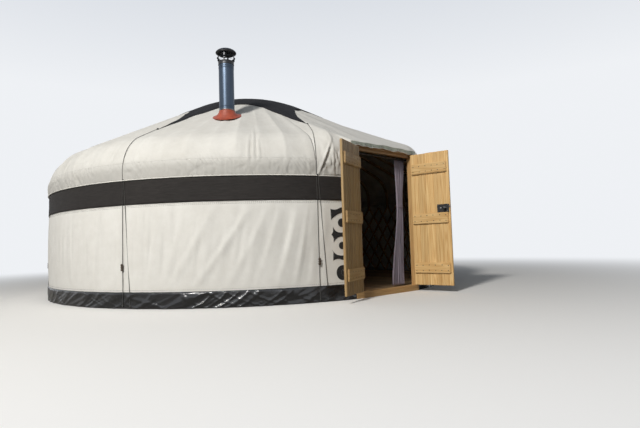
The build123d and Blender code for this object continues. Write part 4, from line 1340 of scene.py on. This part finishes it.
def boards_piece(name, boards, material, body, place, bevel):
    """Bevelled boards in one object; each gives its low and high corner, its grain axis and its tone."""
    work = bmesh.new()
    grain, tone = grain_layers(work)
    for low, high, axis, shade in boards:
        made = bmesh.ops.create_cube(work, size=1.0)["verts"]
        size = Vector(high) - Vector(low)
        middle = (Vector(high) + Vector(low)) / 2
        for vert in made:
            vert.co = Vector(a * b for a, b in zip(vert.co, size)) + middle
        edges = list({edge for vert in made for edge in vert.link_edges})
        offset = min(bevel, min(size) * 0.3)
        rounded = bmesh.ops.bevel(work, geom=edges, offset=offset, segments=2, affect="EDGES")
        shift = Vector(seed.uniform(-3, 3, 3))
        for vert in {v for face in rounded["faces"] for v in face.verts} | {v for v in made if v.is_valid}:
            spot = vert.co + shift
            vert[grain] = Vector(spot[i] for i in grain_order[axis])
            vert[tone] = shade
    for vert in work.verts:
        vert.co = place(vert.co)
    return boarded(work, name, material, body)


def leaf_place(side):
    """Moves a point of a closed leaf, x measured from its pin, to the open leaf."""
    angle = -left_open if side < 0 else right_open
    pin = Vector((side * (half_opening - leaf_side), frame_front - pin_proud, 0))
    swing = Matrix.Rotation(angle, 4, "Z")

    def moved(point):
        closed = Vector((-side * point.x, point.y - pin.y, point.z))
        return swing @ closed + pin

    return moved


leaf_width = half_opening - 2 * leaf_side - leaf_meet
half_board = leaf_width / leaf_boards / 2
leaf_height = leaf_high - leaf_low
leaf_near, leaf_far = frame_front, frame_front + leaf_thick
board_gap = 0.0003
board_bevel, ledge_bevel = 0.0040, 0.0075
# Tones of each leaf's boards; the left leaf's are far lower, which is painted shade on that leaf
board_tones_and_left_shade = {-1: (-1.25, -1.00, -1.10, -1.35, -1.05), 1: (0.6, 0.3, 0.8, 0.45, 0.65)}
half_tone = 0.12            # difference between the halves of a board
# The left leaf's ledges carry the same painted shade
ledge_left_shade = {-1: -1.25, 1: 0}
nail_margin, nail_apart, nail_wobble = 0.045, 0.034, 0.004
bolt_places = (0.055, 0.130, 0.205)


def facing_in(moved):
    """Which way the inside of an open leaf faces."""
    return moved(Vector((0, 1, 0))) - moved(Vector((0, 0, 0)))


def leaf_fittings(name, side, moved):
    """Ledges, with nails through them on the inside and hinge bolts outside."""
    body = f"{name}_leaf"
    inward = facing_in(moved)
    bars, nails, bolts = [], [], []
    left, right = leaf_side + ledge_inset / 2, leaf_side + leaf_width - ledge_inset
    ledge_face = leaf_far + ledge_thick
    for level in ledge_levels:
        z = leaf_high - level * leaf_height
        bars.append(((left, leaf_far, z - ledge_height / 2), (right, ledge_face, z + ledge_height / 2),
                     0, 0.3 + 0.4 * level + ledge_left_shade[side]))
        for i in range(leaf_boards + 1):
            x = leaf_side + nail_margin + i * (leaf_width - 0.005 - 2 * nail_margin) / leaf_boards
            for dz in (-nail_apart, nail_apart):
                wobble = seed.uniform(-nail_wobble, nail_wobble, 2)
                nails.append(moved(Vector((x + wobble[0], ledge_face + 0.0004, z + dz + wobble[1]))))
        bolts.extend(moved(Vector((x, leaf_near - 0.003, z))) for x in bolt_places)
    ledges = boards_piece(f"{name}_leaf_bars", bars, pine_boards, body, moved, ledge_bevel)
    stands_for(ledges, f"{name}_leaf_ledges")
    studded(f"{name}_leaf_nails", nails, inward, studs_iron, 0.0060, 0.0020, body)
    studded(f"{name}_leaf_bolts", bolts, -inward, studs_iron, 0.0075, 0.0045, body)


for side, name in ((-1, "left"), (1, "right")):
    moved = leaf_place(side)
    boards = []
    for i in range(2 * leaf_boards):
        board, half = divmod(i, 2)
        near = (leaf_side + i * half_board + board_gap, leaf_near, leaf_low + 0.001 * (board % 3))
        far = (leaf_side + (i + 1) * half_board - board_gap, leaf_far, leaf_high - 0.0015 * ((board + 1) % 3))
        boards.append((near, far, 2, board_tones_and_left_shade[side][board] + half_tone * half))
    leaf = boards_piece(f"{name}_leaf_planks", boards, pine_boards, f"{name}_leaf", moved, board_bevel)
    stands_for(leaf, f"{name}_leaf_boards")
    leaf_fittings(name, side, moved)


# Turned pieces, and the rim lock on the right leaf


def ring_faces(rows, segments):
    """Faces between rings of points that follow each other."""
    return [(row * segments + i, row * segments + (i + 1) % segments,
             (row + 1) * segments + (i + 1) % segments, (row + 1) * segments + i)
            for row in range(rows - 1) for i in range(segments)]


def turned_piece(name, profile, segments, material, place, body="frame"):
    """A turned solid from (radius, height) points, placed by a function."""
    mesh = bpy.data.meshes.new(name)
    turns = np.linspace(0, 2 * pi, segments, endpoint=False)
    verts = [tuple(place(Vector((r * cos(t), r * sin(t), h)))) for r, h in profile for t in turns]
    mesh.from_pydata(verts, [], ring_faces(len(profile), segments))
    welded(mesh, weld_turned, segments)
    return shade_smooth(new_object(name, mesh, material, body), 38)


on_right_leaf = leaf_place(1)
lock_level = sum(levels("lock_case")) / 2
lock_face = leaf_far + 0.022
lock_right = leaf_side + leaf_width - 0.014
lock_width, lock_half_height, screw_inset = 0.150, 0.050, 0.012
knob_from_end, keyhole_from_end = 0.045, 0.105
knob_profile = [(0.0, 0.0), (0.017, 0.0), (0.018, 0.003), (0.009, 0.005), (0.008, 0.018), (0.012, 0.022),
                (0.019, 0.030), (0.021, 0.038), (0.018, 0.046), (0.009, 0.050), (0.0, 0.051)]
keyhole_profile = [(0.0, 0.0), (0.010, 0.0), (0.011, 0.002), (0.006, 0.0035), (0.0, 0.003)]


def on_lock(from_end):
    """A place on the lock's face: its z axis points out of the leaf."""
    def placed(point):
        at = Vector((lock_right - from_end + point.x, lock_face + point.z, lock_level + point.y))
        return on_right_leaf(at)

    return placed


turned_piece("lock_knob", knob_profile, 24, iron_black, on_lock(knob_from_end), "right_leaf")
turned_piece("lock_keyhole", keyhole_profile, 20, steel_worn, on_lock(keyhole_from_end), "right_leaf")
screw_rise = lock_half_height - screw_inset
lock_screws = [on_right_leaf(Vector((lock_right - x, lock_face, lock_level + z)))
               for x in (screw_inset, lock_width - screw_inset) for z in (-screw_rise, screw_rise)]
studded("lock_screws", lock_screws, facing_in(on_right_leaf), studs_steel, 0.005, 0.002, "right_leaf")
latch = ((lock_right, lock_face - 0.018, lock_level + 0.012),
         (lock_right + 0.013, lock_face - 0.004, lock_level + 0.032), 0, 0.5)
boards_piece("lock_latch", [latch], steel_worn, "right_leaf", on_right_leaf, 0.002)


# Floor boards inside the wall, laid front to back


plank_width, plank_gap = 0.12, 0.0016
plank_bevel = 0.0018


def floor_piece():
    """Planks that end at the round wall and, in the doorway, at the frame."""
    work = bmesh.new()
    grain, tone = grain_layers(work)
    count = int(2 * floor_radius / plank_width)
    for number in range(count):
        x0 = -count * plank_width / 2 + number * plank_width + plank_gap / 2
        x1 = x0 + plank_width - plank_gap
        reach0, reach1 = (sqrt(max(floor_radius ** 2 - x * x, 0.01)) for x in (x0, x1))
        beside = min(abs(x0), abs(x1)) > jamb_outside + seat
        front0, front1 = (-reach0, -reach1) if beside else (frame_rear + seat, frame_rear + seat)
        corners = ((x0, front0), (x1, front1), (x1, reach1), (x0, reach0))
        low, high = ([work.verts.new((x, y, z)) for x, y in corners] for z in (floor_low, floor_top))
        faces = [work.faces.new(high), work.faces.new(low[::-1])]
        for i in range(4):
            j = (i + 1) % 4
            faces.append(work.faces.new((low[i], low[j], high[j], high[i])))
        shift = Vector(seed.uniform(-3, 3, 3))
        shade = seed.uniform(0, 1)
        upper = faces[0].edges[:]
        bevelled = bmesh.ops.bevel(work, geom=upper, offset=plank_bevel, segments=1, affect="EDGES")
        for vert in {v for face in bevelled["faces"] + [f for f in faces if f.is_valid] for v in face.verts}:
            vert[grain] = Vector((vert.co.y, vert.co.x, vert.co.z)) + shift
            vert[tone] = shade
    return boarded(work, "floor_planks", pine_floor)


stands_for(floor_piece(), "floor_boards")


# Thong knots where laths cross


lath_count, lath_steps = 68, 7
lath_pitch = 360 / lath_count
lath_sweep = radians(lath_steps * lath_pitch / 2)
lath_radius = wall_radius - cloth - seat - 0.012
lath_depth = 0.0095
doorway_half = 12.5
crossings, inwards = [], []
for j in range(lath_count):
    for m in range(1, lath_steps):
        side_turn = lath_sweep / 2 - m * radians(lath_pitch) / 2
        share = (1 - tan(side_turn) / tan(lath_sweep / 2)) / 2
        at = j * lath_pitch - np.degrees(lath_sweep) / 2 + np.degrees(side_turn)
        if abs(swung(at)) < doorway_half:
            continue
        radius = lath_radius * cos(lath_sweep / 2) / cos(side_turn) - lath_depth
        crossings.append(around(radius, at, lattice_high + (floor_top - lattice_high) * share))
        inwards.append(-across_and_out(at)[1])
studded("lattice_thongs", crossings, inwards, thong_knots, 0.007, 0.0045)


# Flue boot, beads and cowl


flue_spot = Vector((flue_middle.x, flue_middle.y, 0))
ring_points = 56


def over_flue(point):
    return point + flue_spot


def boot_ring(radius, rise, flat):
    """A ring round the pipe that lies on the slope, or level where flat is 1."""
    turns = np.linspace(0, 2 * pi, ring_points, endpoint=False)
    ring = np.stack([flue_spot.x + radius * np.cos(turns), flue_spot.y + radius * np.sin(turns)], -1)
    on_cloth = slope_height(np.hypot(ring[:, 0], ring[:, 1])) + rise / cos(roof_pitch)
    level = slope_height(flue_distance) + rise / cos(roof_pitch)
    return np.concatenate([ring, (on_cloth * (1 - flat) + level * flat)[:, None]], 1)


# Rings of the boot from its flange up: radius, rise over the slope, share of level
boot_rings = [(0.186, 0.0008, 0), (0.1865, 0.0030, 0), (0.181, 0.0045, 0), (0.164, 0.0055, 0),
              (0.159, 0.0080, 0), (0.150, 0.0115, 0.04), (0.141, 0.0155, 0.10), (0.139, 0.0185, 0.13),
              (0.131, 0.0230, 0.22), (0.1235, 0.0280, 0.35), (0.1215, 0.0305, 0.42), (0.1160, 0.0350, 0.58),
              (0.1115, 0.0405, 0.74), (0.1085, 0.0445, 0.84), (0.1065, 0.0485, 0.94), (0.1055, 0.0515, 1.0),
              (0.1065, 0.0540, 1.0), (0.1065, 0.0570, 1.0), (0.1040, 0.0590, 1.0), (0.1000, 0.0595, 1.0),
              (0.0996, 0.0500, 1.0)]
boot_mesh = bpy.data.meshes.new("boot_bell")
boot_verts = [tuple(p) for ring in boot_rings for p in boot_ring(*ring)]
last_ring = range(len(boot_verts) - ring_points, len(boot_verts))
boot_ends = [tuple(range(ring_points))[::-1], tuple(last_ring)]
boot_mesh.from_pydata(boot_verts, [], ring_faces(len(boot_rings), ring_points) + boot_ends)
boot = shade_smooth(new_object("boot_bell", boot_mesh, rubber_boot), 40)
stands_for(boot, "flue_boot")


def pipe_bead(name, height, material, proud, half):
    """A rounded bead round the pipe."""
    rim, shoulder = flue_radius + proud, flue_radius + proud * 0.7
    profile = [(flue_radius, height - half), (shoulder, height - half * 0.6), (rim, height),
               (shoulder, height + half * 0.6), (flue_radius, height + half)]
    profile += [(flue_radius - 0.001, height + half), (flue_radius - 0.001, height - half), profile[0]]
    turned_piece(name, profile, 48, material, over_flue)


clamp_height = slope_height(flue_distance) + 0.076
pipe_bead("boot_clamp", clamp_height, steel_worn, 0.0035, 0.007)
for number, height in enumerate((flue_high - 0.070, flue_high - 0.092, clamp_height + 0.040)):
    pipe_bead(f"pipe_bead_{number}", height, steel_flue_sky_tinted, 0.0028, 0.005)

# The cowl's dome: radius and share of its height
cowl_dome = 0.080
cowl_rim = cowl_top - cowl_dome
cowl_shape = [(0.0, 0.105), (0.082, 0.010), (0.100, 0.0), (0.117, 0.030), (0.130, 0.105), (0.136, 0.20),
              (0.136, 0.26), (0.131, 0.38), (0.118, 0.54), (0.098, 0.69), (0.070, 0.84), (0.040, 0.94),
              (0.018, 0.98), (0.0, 1.0)]
cowl_profile = [(r, cowl_rim + share * cowl_dome) for r, share in cowl_shape]
cowl = turned_piece("cowl_cap", cowl_profile, 64, steel_cowl, over_flue)
stands_for(cowl, "flue_cowl")
collar_in, collar_out = 0.0993, 0.1035
collar_profile = [(collar_in, cowl_low), (collar_out, cowl_low), (0.1045, cowl_low + 0.004),
                  (collar_out, cowl_low + 0.008), (collar_out, flue_high - 0.004), (0.1050, flue_high),
                  (collar_out, flue_high + 0.003), (collar_in, flue_high + 0.002), (collar_in, cowl_low)]
turned_piece("cowl_collar", collar_profile, 48, steel_cowl, over_flue)
cowl_vanes = ((0.030, 0.112), (0.062, 0.119))       # rise over the pipe's end, and radius
for number, (rise, radius) in enumerate(cowl_vanes):
    height = flue_high + rise
    vane = [(radius - 0.016, height), (radius, height - 0.010), (radius + 0.001, height - 0.009),
            (radius - 0.015, height + 0.0015), (radius - 0.016, height)]
    turned_piece(f"cowl_vane_{number}", vane, 48, steel_flue_sky_tinted, over_flue)
cowl_leg = ((0.0995, -0.011, flue_high - 0.02), (0.1025, 0.011, cowl_rim + 0.012), 2, 0.5)
for k in range(4):
    swing = Matrix.Rotation(radians(45 + 90 * k), 4, "Z")
    boards_piece(f"cowl_leg_{k}", [cowl_leg], steel_cowl, "frame", lambda p: swing @ p + flue_spot, 0.001)


# Curtain, gathered on rings


curtain_low, curtain_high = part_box("curtain")
rail_y, rail_z = (curtain_low.y + curtain_high.y) / 2, curtain_high.z + 0.0093
curtain_x = (curtain_low.x + curtain_high.x) / 2
waist_z = 1.12
# At the rail, the waist and the foot
half_widths = (0.100, 0.056, 0.122)
half_depths = (0.017, 0.021, 0.025)
leans = (0.020, -0.010, -0.095)
fold_count = 7
ring_count, ring_pitch, ring_radius = 8, 0.0215, 0.0125


def curtain_panel():
    """The hanging cloth, tied at its waist."""
    above_waist = np.linspace(curtain_high.z - 0.006, waist_z, 26)
    heights = np.concatenate([above_waist, np.linspace(waist_z, curtain_low.z, 36)[1:]])
    u, z = np.meshgrid(np.linspace(0, 1, 113), heights)
    to_waist, to_foot = smooth(curtain_high.z, waist_z, z), smooth(waist_z, curtain_low.z, z)

    def between(rail, waist, foot):
        return rail + (waist - rail) * to_waist + (foot - waist) * to_foot

    half_width = between(*half_widths)
    folds = 2 * pi * fold_count * u + 0.5 * value_noise(u * 6, z / 0.25, 16, 81) + 0.3 * to_foot
    ruffle = np.sin(folds) * (0.75 + 0.25 * value_noise(u * 9, z / 0.4, 16, 82))
    sway = 0.006 * np.sin(2 * folds) * half_width / 0.11
    x = curtain_x + between(*leans) + half_width * (2 * u - 1) + sway
    return np.stack([x, rail_y - between(*half_depths) * ruffle, z], -1)


curtain_grid = curtain_panel()
curtain = cloth_grid("curtain_folds", [curtain_grid], curtain_cloth, curtain_thick)
stands_for(curtain, "curtain")
tie_x, tie_y = circle(33)
tie = np.stack([curtain_x + leans[1] + 0.064 * tie_x, rail_y + 0.027 * tie_y, waist_z + 0.012 * tie_y], -1)
curtain_tie = grown("curtain_tie", [tie], hem_tie, Radius=0.004)
ring_x, ring_z = circle(19, ring_radius)
rings = [np.stack([curtain_x - 0.046 + i * ring_pitch + 0.16 * ring_z, rail_y + ring_x, rail_z + ring_z], -1)
         for i in range(ring_count)]
curtain_rings = grown("curtain_rings", rings, ring_wire, Radius=0.0015, Step=0.006)
declare(curtain, [curtain_grid], "gathered", with_pieces=[curtain_tie, curtain_rings])


# Wooden toggles on the ropes


toggle_wide, toggle_deep, toggle_long = 0.0165, 0.0078, 0.0395      # halves
toggle_level = sum(levels("rope_cleats")) / 2
toggle_radius = roof_radius + 2 * (seat + rope_radius * cos(pi / 6)) + 0.008
toggle_outline = [(0.0, -1.0), (0.55, -0.99), (0.82, -0.93), (0.95, -0.80), (1.0, -0.60), (0.80, -0.42),
                  (0.72, -0.34), (0.80, -0.26), (0.97, -0.12), (1.0, 0.0)]
toggle_outline += [(r, -h) for r, h in toggle_outline[-2::-1]]
toggle_profile = [(r * toggle_wide, h * toggle_long) for r, h in toggle_outline]


def on_rope(azimuth):
    """Places a toggle on the rope's foot part, flattened against the wall."""
    across, out = across_and_out(azimuth)

    def placed(point):
        away = toggle_radius + point.y * toggle_deep / toggle_wide
        return Vector((*(out * away + across * point.x)[:2], toggle_level + point.z))

    return placed


toggles = [turned_piece(f"toggle_{number}", toggle_profile, 20, toggle_wood, on_rope(rope_on_wall(azimuth)))
           for number, azimuth in enumerate(rope_azimuths)]
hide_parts("rope_cleats")


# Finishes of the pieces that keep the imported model's shape


node_finishes = (
    (ash_poles, ("roof_poles_left", "roof_poles_right", "door_poles", "crown_ring", "crown_ribs")),
    (ash_laths, ("lattice_1", "lattice_2", "lattice_3", "lattice_4")),
    (pine_joists, ("floor_joists",)),
    (pine_upright, ("door_jambs",)),
    (pine_head_shaded, ("door_head",)),
    (pine_level, ("door_sill",)),
    (iron_black, ("left_leaf_straps", "right_leaf_straps", "hinge_flaps", "lock_case", "curtain_rail")),
    (steel_flue_sky_tinted, ("flue_pipe",)),
)
for material, nodes in node_finishes:
    for name in nodes:
        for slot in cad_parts[name].material_slots:
            slot.material = material


# Floor, light and camera


backdrop_colour = rgb(0.86, 0.88, 0.91)
sky_top = (0.30, 0.36, 0.46)
ground_half = 60
ground_drop = 0.001
fade_start, fade_end = 3.6, 12.0
lit_middle = Vector((0, 0, 1.2))


def stage_material():
    """A pale floor that runs into the backdrop's colour away from the tent."""
    made, tree = new_material("pale_ground")
    seen = add(tree, "ShaderNodeLightPath").outputs["Is Camera Ray"]
    tint = blended(tree, seen, rgb(0.36, 0.35, 0.33), rgb(0.90, 0.89, 0.87))
    near = result_of(tree, "ShaderNodeBsdfDiffuse", {"Color": tint})
    away = add(tree, "ShaderNodeVectorMath", {0: object_place(tree)}, operation="LENGTH").outputs["Value"]
    fade = {"Value": away, "From Min": fade_start, "From Max": fade_end}
    share = result_of(tree, "ShaderNodeMapRange", fade, interpolation_type="SMOOTHSTEP")
    bright = result_of(tree, "ShaderNodeEmission", {"Color": backdrop_colour, "Strength": 1.0})
    mixed = add(tree, "ShaderNodeMixShader", {0: reckon(tree, "MULTIPLY", share, seen), 1: near, 2: bright})
    add(tree, "ShaderNodeOutputMaterial", {"Surface": mixed.outputs[0]})
    return made


def soft_light(name, azimuth, elevation, distance, size, power, colour):
    """An area light that faces the middle of the tent."""
    lamp = bpy.data.lights.new(name, "AREA")
    lamp.shape = "DISK"
    lamp.size, lamp.energy, lamp.color = size, power, colour
    made = placed_in_scene(name, lamp)
    spot = around(distance * cos(radians(elevation)), azimuth, distance * sin(radians(elevation)))
    made.location = spot
    made.rotation_euler = (lit_middle - Vector(spot)).to_track_quat("-Z", "Y").to_euler()


def studio_world():
    """A pale backdrop for the camera and for gloss, and a weak even fill for the rest."""
    world = bpy.data.worlds.new("studio")
    world.use_nodes = True
    tree = world.node_tree
    tree.nodes.clear()
    path = add(tree, "ShaderNodeLightPath").outputs
    seen = reckon(tree, "MAXIMUM", path["Is Camera Ray"], path["Is Glossy Ray"])
    direction = add(tree, "ShaderNodeTexCoord").outputs["Generated"]
    rise = add(tree, "ShaderNodeSeparateXYZ", {0: direction}).outputs["Z"]
    sky = ramp(tree, rise, (0.30, backdrop_colour[:3]), (0.95, sky_top))
    backdrop = result_of(tree, "ShaderNodeBackground", {"Color": sky, "Strength": 1.0})
    fill = result_of(tree, "ShaderNodeBackground", {"Color": rgb(0.86, 0.92, 1.0), "Strength": 0.13})
    mixed = add(tree, "ShaderNodeMixShader", {0: seen, 1: fill, 2: backdrop})
    add(tree, "ShaderNodeOutputWorld", {"Surface": mixed.outputs[0]})
    return world


corners = [(x * ground_half, y * ground_half, 0) for x, y in ((-1, -1), (1, -1), (1, 1), (-1, 1))]
ground_mesh = bpy.data.meshes.new("ground")
ground_mesh.from_pydata(corners, [], [(0, 1, 2, 3)])
ground = placed_in_scene("ground", ground_mesh)
ground_mesh.materials.append(stage_material())
ground.location.z = -ground_drop

soft_light("key_light", -62, 34, 18, 2.0, 1960, (1.0, 0.97, 0.92))
soft_light("fill_light", -54, 32, 16, 8, 300, (0.92, 0.96, 1.0))
bpy.context.scene.world = studio_world()

turn_back = Matrix.Rotation(-radians(camera_azimuth), 3, "Z")
ahead = Vector((sin(camera_yaw), cos(camera_yaw), 0))
forward = ahead * cos(camera_pitch) + Vector((0, 0, sin(camera_pitch)))
level = Vector((cos(camera_yaw), -sin(camera_yaw), 0))
above = level.cross(forward)
across_view = level * cos(camera_roll) + above * sin(camera_roll)
up_view = above * cos(camera_roll) - level * sin(camera_roll)
columns = [turn_back @ axis for axis in (across_view, up_view, -forward)]
lens = bpy.data.cameras.new("camera")
lens.sensor_width = sensor
lens.lens = focal_pixels * sensor / photo_width
camera = placed_in_scene("camera", lens)
camera.matrix_world = Matrix(columns).transposed().to_4x4()
camera.location = turn_back @ Vector((0, -camera_distance, camera_height))
bpy.context.scene.camera = camera
